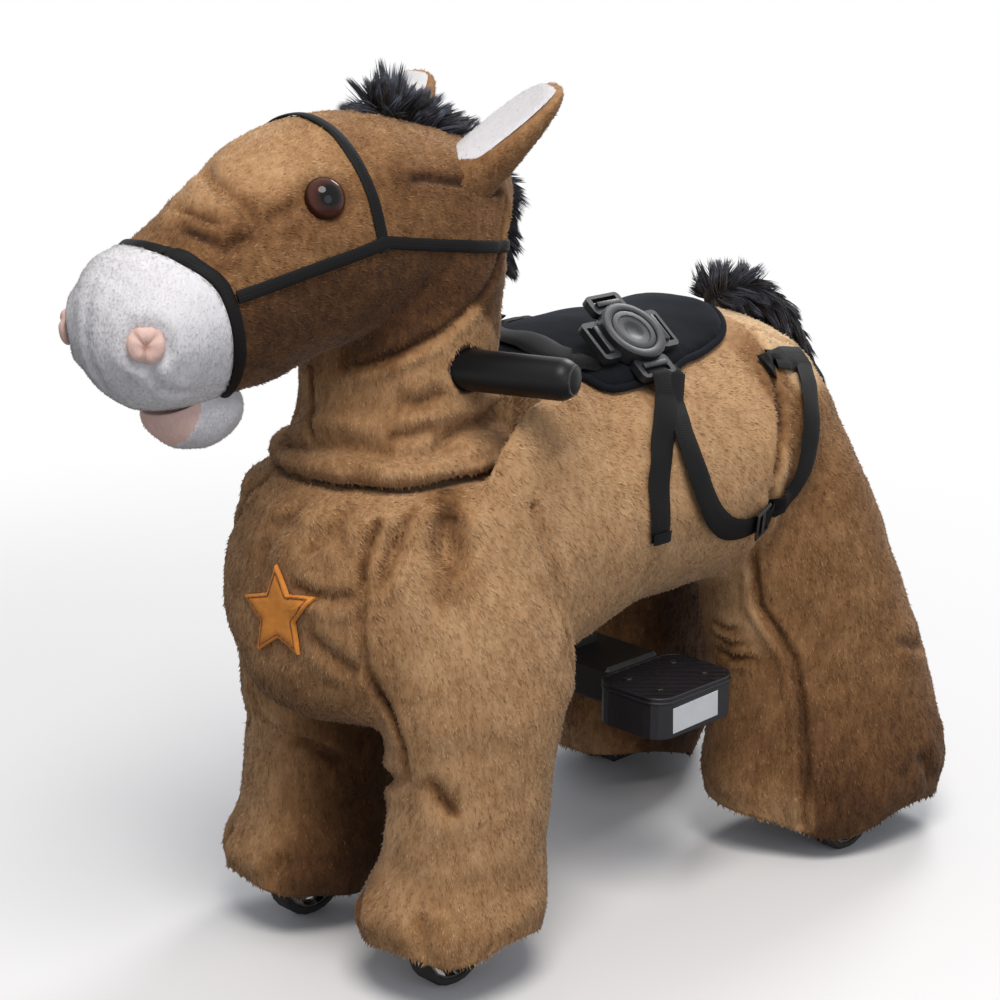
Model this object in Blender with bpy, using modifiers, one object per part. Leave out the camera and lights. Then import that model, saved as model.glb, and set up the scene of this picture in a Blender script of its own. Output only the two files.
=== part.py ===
"""Plush ride-on horse: a battery kiddie ride with a steered head, modelled in metres, +Z up.

The horse faces -Y and its left side is +X. The origin is on the floor under the middle of the ride.
The steel chassis stands on four small wheels inside the legs; the plush covers hang over it.
"""
import math

import bmesh
import bpy
from mathutils import Matrix, Vector

# ---- clearances and walls --------------------------------------------------------------------
GAP = 0.0003                 # between pieces that touch
RUNNING = 0.0010             # between pieces that turn past each other
PLUSH_WALL = 0.010           # fur, backing and wadding of the body cover
HEAD_WALL = 0.009            # the same on the head and neck cover

# ---- driving sizes ---------------------------------------------------------------------------
WHEEL_R = 0.033              # 66 mm wheels
TYRE_HALF = 0.010
FRONT_TRACK = 0.162          # between the front contact points
FRONT_Y = -0.145
REAR_TRACK = 0.280
REAR_Y = 0.252
STEER_Y = -0.115             # the upright axis that the head turns about
HEM_Z = 0.046                # lower edge of the leg covers
NECK_HEM_Z = 0.384           # lower edge of the neck cover
SEAT_Z = 0.445               # top of the plush back, under the saddle
BACK_HALF = 0.135            # half width of the barrel
BELLY_Z = 0.229
BAR_Z = 0.457                # height of the handlebar
GRIP_R = 0.015
GRIP_LEN = 0.092
WEBBING = 0.025              # width of the harness webbing
WEBBING_T = 0.0018

# ---- chassis ---------------------------------------------------------------------------------
SPINE_Z = 0.2800             # underside of the spine
SPINE_H = 0.025
SPINE_HALF = 0.020
BEAM_Z = 0.200               # underside of the front beam
BEAM_H = 0.028
LEG_R = 0.015
KINGPIN_R = 0.008
HEAD_TUBE = (0.275, 0.365)   # lowest and highest point
HEAD_TUBE_R = 0.019
COLUMN_R = 0.0125
ARM_LEN = 0.035              # steering arms, from kingpin to tie bar
ARM_Z = 0.240
ARM_H = 0.006
PIN_R = 0.004

# ---- drive -----------------------------------------------------------------------------------
GEAR_TEETH = 24
PINION_TEETH = 8
MODULE = 0.0015
GEAR_X = 0.108               # middle of the gear, from the centre plane
GEAR_HALF = 0.003

# ---- footrests -------------------------------------------------------------------------------
REST_X = (0.069, 0.137)
REST_Y = (0.022, 0.114)
REST_TOP = 0.190
REST_H = 0.033
REST_WALL = 0.0025
TREAD_T = 0.004
REST_BAR_R = 0.010

# ---- seat ------------------------------------------------------------------------------------
BOARD_HALF = 0.045
BOARD_Y = (0.035, 0.215)
BOARD_TOP = SEAT_Z - 0.0105
BOARD_T = 0.006
BATTERY = (0.070, 0.090, 0.101)

# ---- buckle ----------------------------------------------------------------------------------
BUCKLE_AT = Vector((0.067, 0.060, 0.4555))
BUCKLE_TILT = math.radians(39)
BUCKLE_R = 0.027
BUCKLE_T = 0.012
BUTTON_R = 0.019
BUTTON_TRAVEL = 0.0025

SIDES = {"l": 1, "r": -1}

for leftover in list(bpy.data.objects):
    bpy.data.objects.remove(leftover)

parts = bpy.data.collections.new("kiddie_ride_horse")
cutters = bpy.data.collections.new("cutters")
bpy.context.scene.collection.children.link(parts)
bpy.context.scene.collection.children.link(cutters)


# ---- helpers ---------------------------------------------------------------------------------
def material(name, colour, roughness, metallic=0.0):
    found = bpy.data.materials.get(name)
    if found:
        return found
    made = bpy.data.materials.new(name)
    made.use_nodes = True
    shader = made.node_tree.nodes["Principled BSDF"]
    shader.inputs["Base Color"].default_value = (*colour, 1)
    shader.inputs["Roughness"].default_value = roughness
    shader.inputs["Metallic"].default_value = metallic
    return made


STEEL = material("painted_steel", (0.03, 0.03, 0.03), 0.45, 0.6)
CHROME = material("chromed_steel", (0.75, 0.75, 0.76), 0.12, 1.0)
RUBBER = material("black_rubber", (0.02, 0.02, 0.02), 0.75)
PLASTIC = material("black_plastic", (0.02, 0.02, 0.025), 0.45)
FOAM = material("foam_grip", (0.025, 0.025, 0.028), 0.8)
TAN = material("tan_plush", (0.33, 0.18, 0.07), 0.9)
WHITE = material("white_plush", (0.85, 0.83, 0.80), 0.9)
BLACK_FUR = material("black_fur", (0.02, 0.02, 0.022), 0.9)
ORANGE = material("orange_felt", (0.75, 0.27, 0.04), 0.85)
WEB = material("black_webbing", (0.015, 0.015, 0.018), 0.7)
GLASS = material("brown_eye", (0.06, 0.02, 0.01), 0.08)
NYLON = material("gear_nylon", (0.70, 0.68, 0.62), 0.5)
GREY = material("grey_metal", (0.45, 0.45, 0.46), 0.35, 0.9)


def place(thing, name, finish=None, collection=None):
    """Names an object, gives it its material and moves it to its collection."""
    thing.name = name
    for home in list(thing.users_collection):
        home.objects.unlink(thing)
    (collection or parts).objects.link(thing)
    if finish:
        thing.data.materials.clear()
        thing.data.materials.append(finish)
    hidden = collection is cutters
    thing.hide_render = hidden
    thing.display_type = "WIRE" if hidden else "TEXTURED"
    if not hidden and thing.type == "MESH":
        thing.data.shade_smooth()
        thing.data.set_sharp_from_angle(angle=math.radians(35))
    return thing


def mesh_object(name, bm, finish=None, collection=None):
    bmesh.ops.recalc_face_normals(bm, faces=bm.faces)
    data = bpy.data.meshes.new(name)
    bm.to_mesh(data)
    bm.free()
    return place(bpy.data.objects.new(name, data), name, finish, collection or parts)


def add_box(bm, low, high):
    low, high = Vector(low), Vector(high)
    size = high - low
    matrix = Matrix.Translation((low + high) / 2) @ Matrix.Diagonal((*size, 1))
    bmesh.ops.create_cube(bm, size=1, matrix=matrix)


def add_rod(bm, start, end, radius, sides=20, end_radius=None):
    start, end = Vector(start), Vector(end)
    along = end - start
    turn = along.to_track_quat("Z", "Y").to_matrix().to_4x4()
    matrix = Matrix.Translation((start + end) / 2) @ turn
    top = radius if end_radius is None else end_radius
    bmesh.ops.create_cone(bm, cap_ends=True, segments=sides, radius1=radius, radius2=top,
                          depth=along.length, matrix=matrix)


def box(name, low, high, finish=None, collection=None):
    bm = bmesh.new()
    add_box(bm, low, high)
    return mesh_object(name, bm, finish, collection)


def rod(name, start, end, radius, finish=None, collection=None, sides=20, end_radius=None):
    bm = bmesh.new()
    add_rod(bm, start, end, radius, sides, end_radius)
    return mesh_object(name, bm, finish, collection)


def boolean(thing, other, operation="DIFFERENCE"):
    step = thing.modifiers.new(operation.lower(), "BOOLEAN")
    step.operation = operation
    step.solver = "EXACT"
    step.object = other
    return thing


def bevel(thing, width, segments=2, angle=40):
    step = thing.modifiers.new("bevel", "BEVEL")
    step.width = width
    step.segments = segments
    step.limit_method = "ANGLE"
    step.angle_limit = math.radians(angle)
    return thing


def turned(name, profile, centre, axis, finish, steps=28, collection=None):
    """A profile of (radius, height) pairs, from the top down its outer side, spun about axis."""
    bm = bmesh.new()
    points = [bm.verts.new((r, 0, h)) for r, h in profile]
    for first, second in zip(points, points[1:] + points[:1]):
        if (first.co - second.co).length > 1e-6 and not (first.co.x < 1e-7 and second.co.x < 1e-7):
            bm.edges.new((first, second))
    data = bpy.data.meshes.new(name)
    bm.to_mesh(data)
    bm.free()
    thing = bpy.data.objects.new(name, data)
    spin = thing.modifiers.new("screw", "SCREW")
    spin.axis = "Z"
    spin.steps = steps
    spin.render_steps = steps
    spin.use_merge_vertices = True
    spin.merge_threshold = 0.00001
    turn = Vector(axis).to_track_quat("Z", "Y").to_matrix().to_4x4()
    thing.matrix_world = Matrix.Translation(centre) @ turn
    return place(thing, name, finish, collection)


def flat_plate(name, outlines, thickness, matrix, finish, collection=None):
    """Closed outlines of (x, y) points, the later ones holes, as a plate of real thickness."""
    data = bpy.data.curves.new(name, "CURVE")
    data.dimensions = "2D"
    data.fill_mode = "BOTH"
    data.extrude = thickness / 2
    for outline in outlines:
        line = data.splines.new("POLY")
        line.points.add(len(outline) - 1)
        for point, (x, y) in zip(line.points, outline):
            point.co = (x, y, 0, 1)
        line.use_cyclic_u = True
    curve = bpy.data.objects.new(name + "_outline", data)
    bpy.context.scene.collection.objects.link(curve)
    bpy.context.view_layer.update()
    evaluated = curve.evaluated_get(bpy.context.evaluated_depsgraph_get())
    solid = bpy.data.meshes.new_from_object(evaluated)
    bpy.data.objects.remove(curve)
    bm = bmesh.new()
    bm.from_mesh(solid)
    bmesh.ops.remove_doubles(bm, verts=bm.verts, dist=0.00001)
    bm.transform(matrix)
    return mesh_object(name, bm, finish, collection)


def rounded(low, high, radius, steps=4):
    """Corner points of a rectangle with rounded corners, anticlockwise."""
    points = []
    left, right = low[0] + radius, high[0] - radius
    front, back = low[1] + radius, high[1] - radius
    for quarter, (x, y) in enumerate(((right, back), (left, back), (left, front), (right, front))):
        for i in range(steps + 1):
            angle = math.pi / 2 * (quarter + i / steps)
            points.append((x + radius * math.cos(angle), y + radius * math.sin(angle)))
    return points


def band(route, width):
    """The outline of a strip of even width that follows a route of (x, y) points."""
    left, right = [], []
    for i, point in enumerate(route):
        before, after = route[max(i - 1, 0)], route[min(i + 1, len(route) - 1)]
        along = Vector((after[0] - before[0], after[1] - before[1])).normalized()
        across = Vector((-along.y, along.x)) * width / 2
        left.append((point[0] + across.x, point[1] + across.y))
        right.append((point[0] - across.x, point[1] - across.y))
    return left + list(reversed(right))


def circle(centre, radius, count=16):
    step = 2 * math.pi / count
    return [(centre[0] + radius * math.cos(step * i), centre[1] + radius * math.sin(step * i))
            for i in range(count)]


def pivot(name, at, axis=(0, 0, 1), parent=None):
    """An empty on a joint's axis, which the pieces of that body hang on."""
    empty = bpy.data.objects.new(name, None)
    empty.empty_display_size = 0.02
    parts.objects.link(empty)
    empty.matrix_world = Matrix.Translation(at) @ Vector(axis).to_track_quat("Z", "Y").to_matrix().to_4x4()
    bpy.context.view_layer.update()
    if parent:
        hang(empty, parent)
    return empty


def hang(thing, empty):
    bpy.context.view_layer.update()
    world = thing.matrix_world.copy()
    thing.parent = empty
    thing.matrix_parent_inverse = empty.matrix_world.inverted()
    thing.matrix_world = world


def add_loft(bm, rings, upright, sides=20, yaw=0.0):
    """Skins elliptical rings, given as (x, y, z, half width, half depth), and closes both ends."""
    turn = Matrix.Rotation(yaw, 4, "Z") if upright else Matrix.Rotation(math.radians(90), 4, "X")
    loops = []
    for x, y, z, half_width, half_depth in rings:
        matrix = Matrix.Translation((x, y, z)) @ turn @ Matrix.Diagonal((half_width, half_depth, 1, 1))
        made = bmesh.ops.create_circle(bm, cap_ends=False, segments=sides, radius=1, matrix=matrix)
        loops.append(made["verts"])
    for lower, upper in zip(loops, loops[1:]):
        for i in range(sides):
            bm.faces.new((lower[i], lower[(i + 1) % sides], upper[(i + 1) % sides], upper[i]))
    bm.faces.new(list(reversed(loops[0])))
    bm.faces.new(loops[-1])


def add_sweep(bm, stations, sides=12):
    """Skins elliptical rings square to a path in the middle plane: (y, z, half width, half depth)."""
    loops = []
    for i, (y, z, half_width, half_depth) in enumerate(stations):
        before, after = stations[max(i - 1, 0)], stations[min(i + 1, len(stations) - 1)]
        along = Vector((0, after[0] - before[0], after[1] - before[1])).normalized()
        across = along.cross(Vector((1, 0, 0)))
        loop = []
        for step in range(sides):
            angle = 2 * math.pi * step / sides
            offset = Vector((half_width * math.cos(angle), 0, 0)) + across * (half_depth * math.sin(angle))
            loop.append(bm.verts.new(Vector((0, y, z)) + offset))
        loops.append(loop)
    for lower, upper in zip(loops, loops[1:]):
        for i in range(sides):
            bm.faces.new((lower[i], lower[(i + 1) % sides], upper[(i + 1) % sides], upper[i]))
    bm.faces.new(list(reversed(loops[0])))
    bm.faces.new(loops[-1])


def soft_form(name, build, voxel, grow, keep=0.2, smooth=3, finish=None, collection=None, wall=0.0):
    """Melts overlapping lofts into one skin, grown by a distance, with a wall where one is given."""
    bm = bmesh.new()
    build(bm)
    thing = mesh_object(name, bm, finish, collection or cutters)
    melt = thing.modifiers.new("remesh", "REMESH")
    melt.mode = "VOXEL"
    melt.voxel_size = voxel
    relax = thing.modifiers.new("smooth", "SMOOTH")
    relax.iterations = smooth
    relax.factor = 0.5
    thin = thing.modifiers.new("decimate", "DECIMATE")
    thin.ratio = keep
    if grow:
        swell = thing.modifiers.new("displace", "DISPLACE")
        swell.strength = grow
        swell.mid_level = 0.0
    if wall:
        shell = thing.modifiers.new("solidify", "SOLIDIFY")
        shell.thickness = wall
        shell.offset = -1
    return thing


# ---- body form: barrel, chest, rump and four legs ----------------------------------------------
TOE_OUT = math.radians(26)   # the hind feet's long way, turned out at the back
WHEEL_ROOM = WHEEL_R - 0.033 # what larger wheels need round them inside the hems
RUMP = REAR_Y - 0.252        # how far the rump and tail follow the hind wheels back


def build_body(bm):
    middle = (SEAT_Z + BELLY_Z) / 2
    deep = (SEAT_Z - BELLY_Z) / 2
    add_loft(bm, [(0, -0.234, 0.298, 0.046, 0.060),
                  (0, -0.222, 0.296, 0.080, 0.090),
                  (0, -0.186, 0.294, 0.108, 0.108),
                  (0, -0.120, 0.298, 0.126, 0.114),
                  (0, -0.040, 0.318, 0.132, 0.118),
                  (0, 0.050, middle, BACK_HALF, deep),
                  (0, 0.130, middle, BACK_HALF, deep),
                  (0, 0.200 + RUMP, middle + 0.003, BACK_HALF, deep + 0.004),
                  (0, 0.254 + RUMP, middle, 0.122, deep - 0.006),
                  (0, 0.298 + RUMP, middle - 0.010, 0.088, deep - 0.030),
                  (0, 0.322 + RUMP, middle - 0.020, 0.050, 0.050)], upright=False)
    add_loft(bm, [(0, -0.130, 0.300, 0.106, 0.086),
                  (0, -0.124, 0.345, 0.098, 0.082),
                  (0, -0.120, 0.390, 0.092, 0.080)], upright=True)
    for side in SIDES.values():
        front = side * FRONT_TRACK / 2
        add_loft(bm, [(front, FRONT_Y + 0.006, -0.010, 0.070 + WHEEL_ROOM, 0.078 + WHEEL_ROOM),
                      (front, FRONT_Y + 0.006, 0.060, 0.070 + WHEEL_ROOM, 0.077 + WHEEL_ROOM),
                      (front, FRONT_Y + 0.014, 0.105, 0.062, 0.066),
                      (front + side * 0.002, FRONT_Y + 0.020, 0.160, 0.060, 0.066),
                      (front + side * 0.002, FRONT_Y + 0.030, 0.220, 0.062, 0.082),
                      (front - side * 0.006, FRONT_Y + 0.030, 0.300, 0.062, 0.086)], upright=True)
        rear = side * (REAR_TRACK / 2 - 0.030)
        add_loft(bm, [(rear, REAR_Y + 0.017, -0.010, 0.070 + WHEEL_ROOM, 0.111 + WHEEL_ROOM),
                      (rear, REAR_Y + 0.017, 0.060, 0.074 + WHEEL_ROOM, 0.117 + WHEEL_ROOM),
                      (rear - side * 0.003, REAR_Y + 0.018, 0.110, 0.068, 0.110),
                      (rear - side * 0.008, REAR_Y + 0.010, 0.160, 0.065, 0.100),
                      (rear - side * 0.020, REAR_Y - 0.006, 0.240, 0.066, 0.090),
                      (rear - side * 0.040, REAR_Y - 0.020, 0.330, 0.062, 0.078)],
                 upright=True, yaw=-side * TOE_OUT)


# ---- head form: neck with its rolled hem, skull and cheeks -------------------------------------
def build_head(bm):
    add_loft(bm, [(0, STEER_Y, 0.330, 0.090, 0.090),
                  (0, STEER_Y, 0.378, 0.090, 0.090),
                  (0, STEER_Y, 0.398, 0.094, 0.094),
                  (0, STEER_Y, 0.412, 0.086, 0.086),
                  (0, STEER_Y, 0.424, 0.078, 0.078),
                  (0, STEER_Y + 0.003, 0.450, 0.077, 0.077),
                  (0, STEER_Y + 0.010, 0.480, 0.077, 0.078),
                  (0, STEER_Y + 0.013, 0.520, 0.077, 0.080),
                  (0, STEER_Y + 0.008, 0.560, 0.073, 0.080),
                  (0, STEER_Y - 0.002, 0.595, 0.060, 0.068)], upright=True)
    add_loft(bm, [(0, -0.030, 0.582, 0.032, 0.030),
                  (0, -0.060, 0.570, 0.060, 0.054),
                  (0, -0.110, 0.563, 0.072, 0.068),
                  (0, -0.160, 0.557, 0.074, 0.078),
                  (0, -0.205, 0.554, 0.071, 0.084),
                  (0, -0.245, 0.544, 0.065, 0.084),
                  (0, -0.285, 0.526, 0.058, 0.076),
                  (0, -0.315, 0.514, 0.054, 0.066),
                  (0, -0.375, 0.500, 0.046, 0.055)], upright=False)


BODY = (build_body, 0.018)
HEAD = (build_head, 0.012)
BODY_KEEP = 0.11
HEAD_KEEP = 0.15
body_skin = soft_form("body_skin", *BODY, GAP, BODY_KEEP)
head_skin = soft_form("head_skin", *HEAD, GAP, HEAD_KEEP)
TAPE = 0.010                 # width of the bridle tape
TAPE_T = 0.0015
head_and_tape = soft_form("head_and_tape", *HEAD, GAP * 2 + TAPE_T, HEAD_KEEP)

# ---- joint axes ------------------------------------------------------------------------------
steering = pivot("steering_axis", (0, STEER_Y, BAR_Z))
kingpins = {}
wheels = {}
for tag, side in SIDES.items():
    front = Vector((side * FRONT_TRACK / 2, FRONT_Y, WHEEL_R))
    rear = Vector((side * REAR_TRACK / 2, REAR_Y, WHEEL_R))
    kingpins[tag] = pivot("kingpin_axis_" + tag, front + Vector((0, 0, 0.06)))
    wheels["f" + tag] = pivot("front_axle_" + tag, front, (1, 0, 0), kingpins[tag])
    wheels["r" + tag] = pivot("rear_axle_" + tag, rear, (1, 0, 0))
tie_axis = pivot("tie_bar_axis", (FRONT_TRACK / 2, FRONT_Y + ARM_LEN, ARM_Z), parent=kingpins["l"])

# ---- chassis: spine, head tube, beams and legs -------------------------------------------------
head_tube_r = HEAD_TUBE_R + GAP
spine_top = SPINE_Z + SPINE_H
head_tube_cutter = rod("head_tube_cutter", (0, STEER_Y, 0.20), (0, STEER_Y, 0.45), head_tube_r,
                       collection=cutters, sides=32)

spine_end = REAR_Y - 0.015 - GAP
spine = box("spine_tube", (-SPINE_HALF, STEER_Y, SPINE_Z), (SPINE_HALF, spine_end, spine_top), STEEL)
boolean(spine, head_tube_cutter)

low, high = HEAD_TUBE
turned("head_tube", [(COLUMN_R + GAP, high), (HEAD_TUBE_R, high), (HEAD_TUBE_R, low),
                     (COLUMN_R + GAP, low)], (0, STEER_Y, 0), (0, 0, 1), STEEL)

beam_top = BEAM_Z + BEAM_H
bm = bmesh.new()
beam_half = FRONT_TRACK / 2 + 0.022
add_box(bm, (-beam_half, FRONT_Y - 0.018, BEAM_Z), (beam_half, FRONT_Y + 0.018, beam_top))
front_beam = mesh_object("front_beam", bm, STEEL)
post = box("front_beam_post", (-0.018, FRONT_Y - 0.020, beam_top - 0.010), (0.018, FRONT_Y + 0.006, 0.335),
           collection=cutters)
boolean(front_beam, post, "UNION")
boolean(front_beam, head_tube_cutter)

for tag, side in SIDES.items():
    x = side * FRONT_TRACK / 2
    hole = rod("leg_hole_" + tag, (x, FRONT_Y, 0.15), (x, FRONT_Y, 0.26), LEG_R + GAP,
               collection=cutters, sides=32)
    boolean(front_beam, hole)
    bore = KINGPIN_R + GAP
    flange = BEAM_Z - GAP
    turned("front_leg_" + tag,
           [(bore, ARM_Z - 0.004), (LEG_R, ARM_Z - 0.004), (LEG_R, flange), (0.022, flange),
            (0.022, flange - 0.004), (LEG_R, flange - 0.004), (LEG_R, 0.095), (bore, 0.095)],
           (x, FRONT_Y, 0), (0, 0, 1), STEEL)

rear_leg_x = 0.094
beam_low = SPINE_Z - 0.030
rear_beam = box("rear_beam", (-rear_leg_x - 0.014, REAR_Y - 0.015, beam_low),
                (rear_leg_x + 0.014, REAR_Y + 0.015, spine_top), STEEL)
gear_r = GEAR_TEETH * MODULE / 2
pinion_r = PINION_TEETH * MODULE / 2
pinion_z = WHEEL_R + gear_r + pinion_r + 0.0004
house_top = pinion_z + pinion_r + 0.014
for tag, side in SIDES.items():
    x = side * rear_leg_x
    leg = rod("rear_leg_" + tag, (x, REAR_Y, house_top + GAP), (x, REAR_Y, beam_low - GAP), 0.012, STEEL)
    foot = box("rear_leg_plate_" + tag, (x - 0.016, REAR_Y - 0.022, house_top + GAP),
               (x + 0.016, REAR_Y + 0.022, house_top + 0.004), collection=cutters)
    boolean(leg, foot, "UNION")

# ---- front wheels in their steered forks -------------------------------------------------------
hub_half = TYRE_HALF + 0.002
fork_in = hub_half + RUNNING
fork_out = fork_in + 0.003
crown_low = WHEEL_R * 2 + 0.004
for tag, side in SIDES.items():
    x = side * FRONT_TRACK / 2
    bm = bmesh.new()
    add_box(bm, (x - fork_out, FRONT_Y - 0.013, crown_low),
            (x + fork_out, FRONT_Y + 0.013, crown_low + 0.006))
    fork = mesh_object("steer_fork_" + tag, bm, STEEL)
    for label, inner in (("in", x - fork_out), ("out", x + fork_in)):
        cheek = box(f"fork_cheek_{label}_{tag}", (inner, FRONT_Y - 0.011, WHEEL_R - 0.013),
                    (inner + fork_out - fork_in, FRONT_Y + 0.011, crown_low + 0.003), collection=cutters)
        boolean(fork, cheek, "UNION")
    collar = rod("fork_collar_" + tag, (x, FRONT_Y, crown_low + 0.004), (x, FRONT_Y, 0.095 - GAP), 0.013,
                 collection=cutters)
    shaft = rod("fork_shaft_" + tag, (x, FRONT_Y, crown_low + 0.005), (x, FRONT_Y, ARM_Z + ARM_H), KINGPIN_R,
                collection=cutters)
    arm_y = FRONT_Y + ARM_LEN
    arm = box("fork_arm_" + tag, (x - 0.007, FRONT_Y - 0.010, ARM_Z),
              (x + 0.007, arm_y + 0.008, ARM_Z + ARM_H), collection=cutters)
    pin = rod("fork_pin_" + tag, (x, arm_y, ARM_Z + 0.003), (x, arm_y, ARM_Z + ARM_H + 0.006), PIN_R,
              collection=cutters, sides=16)
    for piece in (collar, shaft, arm, pin):
        boolean(fork, piece, "UNION")
    axle_hole = rod("fork_axle_hole_" + tag, (x - 0.03, FRONT_Y, WHEEL_R), (x + 0.03, FRONT_Y, WHEEL_R),
                    0.004 + GAP, collection=cutters, sides=20)
    boolean(fork, axle_hole)
    hang(fork, kingpins[tag])

# ---- tie bar, which keeps the two forks and the column parallel --------------------------------
bar_low = ARM_Z + ARM_H + 0.0005
bar_t = 0.004
half = FRONT_TRACK / 2
pin_y = FRONT_Y + ARM_LEN
pitman_y = STEER_Y + ARM_LEN
outline = [(-half - 0.010, pin_y - 0.008), (half + 0.010, pin_y - 0.008), (half + 0.010, pin_y + 0.008),
           (0.014, pin_y + 0.008), (0.010, pitman_y + 0.009), (-0.010, pitman_y + 0.009),
           (-0.014, pin_y + 0.008), (-half - 0.010, pin_y + 0.008)]
holes = [circle((x, y), PIN_R + GAP) for x, y in ((-half, pin_y), (half, pin_y), (0, pitman_y))]
bar_lift = Matrix.Translation((0, 0, bar_low + bar_t / 2))
tie_bar = flat_plate("tie_bar", [outline, *holes], bar_t, bar_lift, STEEL)
hang(tie_bar, tie_axis)


# ---- wheels: chromed dish with its axle, and a rubber tyre -------------------------------------
def tyre(name, centre, empty):
    inner = WHEEL_R - 0.006
    profile = [(inner, TYRE_HALF), (WHEEL_R - 0.002, TYRE_HALF), (WHEEL_R, TYRE_HALF - 0.003),
               (WHEEL_R, -TYRE_HALF + 0.003), (WHEEL_R - 0.002, -TYRE_HALF), (inner, -TYRE_HALF)]
    hang(turned(name, profile, centre, (1, 0, 0), RUBBER, steps=24), empty)


def gear_outline(teeth, module, turn=0.0):
    pitch = teeth * module / 2
    points = []
    for tooth in range(teeth):
        middle = 2 * math.pi * tooth / teeth + turn
        half_tooth = math.pi / teeth / 2 * 0.90
        for reach, share in ((-1.15 * module, -1.45), (0.85 * module, -0.50), (0.85 * module, 0.50),
                             (-1.15 * module, 1.45)):
            angle = middle + half_tooth * share
            points.append(((pitch + reach) * math.cos(angle), (pitch + reach) * math.sin(angle)))
    return points


def rim(name, centre, empty, inboard, axle_in, axle_out):
    """Dished disc with a hub and a stub axle; inboard is +1 where the ride's middle lies at +X."""
    r = WHEEL_R - 0.006 - GAP
    web = 0.003
    profile = [(0.004, axle_out), (0.004, hub_half), (0.009, hub_half), (0.011, web),
               (r - 0.004, web), (r - 0.0015, TYRE_HALF - 0.001), (r, TYRE_HALF - 0.001),
               (r, -TYRE_HALF + 0.001), (r - 0.0015, -TYRE_HALF + 0.001), (r - 0.004, -web),
               (0.011, -web), (0.009, -hub_half), (0.004, -hub_half), (0.004, -axle_in)]
    profile = [(0.0, axle_out), *profile, (0.0, -axle_in)]
    disc = turned(name, profile, centre, (-inboard, 0, 0), CHROME, steps=16)
    hang(disc, empty)
    return disc


for tag, side in SIDES.items():
    centre = Vector((side * FRONT_TRACK / 2, FRONT_Y, WHEEL_R))
    tyre("tyre_f" + tag, centre, wheels["f" + tag])
    rim("rim_f" + tag, centre, wheels["f" + tag], -side, fork_out + 0.001, fork_out + 0.001)
    centre = Vector((side * REAR_TRACK / 2, REAR_Y, WHEEL_R))
    tyre("tyre_r" + tag, centre, wheels["r" + tag])
    reach = REAR_TRACK / 2 - GEAR_X + GEAR_HALF + 0.002
    disc = rim("rim_r" + tag, centre, wheels["r" + tag], -side, reach, hub_half + 0.002)
    facing = Matrix.Translation((side * GEAR_X, REAR_Y, WHEEL_R)) @ Matrix.Rotation(math.radians(90), 4, "Y")
    teeth = flat_plate("gear_blank_" + tag, [gear_outline(GEAR_TEETH, MODULE, math.pi)], GEAR_HALF * 2,
                       facing, None, cutters)
    boolean(disc, teeth, "UNION")

# ---- rear drive: housing, motor and pinion on each side ----------------------------------------
wheel_in = REAR_TRACK / 2 - hub_half - RUNNING
house_in = GEAR_X - GEAR_HALF - 0.008
for tag, side in SIDES.items():
    low_x, high_x = sorted((side * house_in, side * wheel_in))
    wall = 0.003
    half_y = gear_r + MODULE + RUNNING + wall
    floor = WHEEL_R - gear_r - MODULE - RUNNING - wall
    housing = box("gear_housing_" + tag, (low_x, REAR_Y - half_y, floor),
                  (high_x, REAR_Y + half_y, house_top), PLASTIC)
    bevel(housing, 0.003, 1)
    pocket_out = side * (wheel_in - wall)
    pocket_in = side * (house_in - 0.010)
    pocket = rod("housing_pocket_" + tag, (pocket_in, REAR_Y, WHEEL_R), (pocket_out, REAR_Y, WHEEL_R),
                 gear_r + MODULE + RUNNING, collection=cutters, sides=32)
    upper = rod("housing_upper_" + tag, (pocket_in, REAR_Y, pinion_z), (pocket_out, REAR_Y, pinion_z),
                pinion_r + MODULE + RUNNING, collection=cutters, sides=24)
    axle_hole = rod("housing_axle_hole_" + tag, (side * 0.08, REAR_Y, WHEEL_R),
                    (side * 0.15, REAR_Y, WHEEL_R), 0.004 + GAP, collection=cutters, sides=20)
    for piece in (pocket, upper, axle_hole):
        boolean(housing, piece)
    facing = Matrix.Translation((side * GEAR_X, REAR_Y, pinion_z))
    facing @= Matrix.Rotation(math.radians(90), 4, "Y")
    turn = math.pi / PINION_TEETH
    shaft = rod("pinion_shaft_" + tag, (side * (house_in - 0.012), REAR_Y, pinion_z),
                (side * (GEAR_X + 0.006), REAR_Y, pinion_z), 0.002, collection=cutters, sides=16)
    teeth = gear_outline(PINION_TEETH, MODULE, turn)
    pinion = flat_plate("drive_pinion_" + tag, [teeth], GEAR_HALF * 2, facing, NYLON)
    boolean(pinion, shaft, "UNION")
    hang(pinion, pivot("pinion_axis_" + tag, (side * GEAR_X, REAR_Y, pinion_z), (1, 0, 0)))
    motor_end = side * (house_in - GAP)
    motor = rod("drive_motor_" + tag, (side * 0.058, REAR_Y, pinion_z), (motor_end, REAR_Y, pinion_z), 0.015,
                GREY, sides=24)
    flange_z = pinion_z - 0.010
    plate = rod("motor_flange_" + tag, (side * (house_in - 0.003), REAR_Y, flange_z),
                (motor_end, REAR_Y, flange_z), gear_r + 0.004, collection=cutters, sides=32)
    boolean(motor, plate, "UNION")
    shaft_hole = rod("motor_shaft_hole_" + tag, (side * (house_in - 0.014), REAR_Y, pinion_z),
                     (side * (house_in + 0.01), REAR_Y, pinion_z), 0.002 + GAP, collection=cutters, sides=16)
    boolean(motor, shaft_hole)

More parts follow.
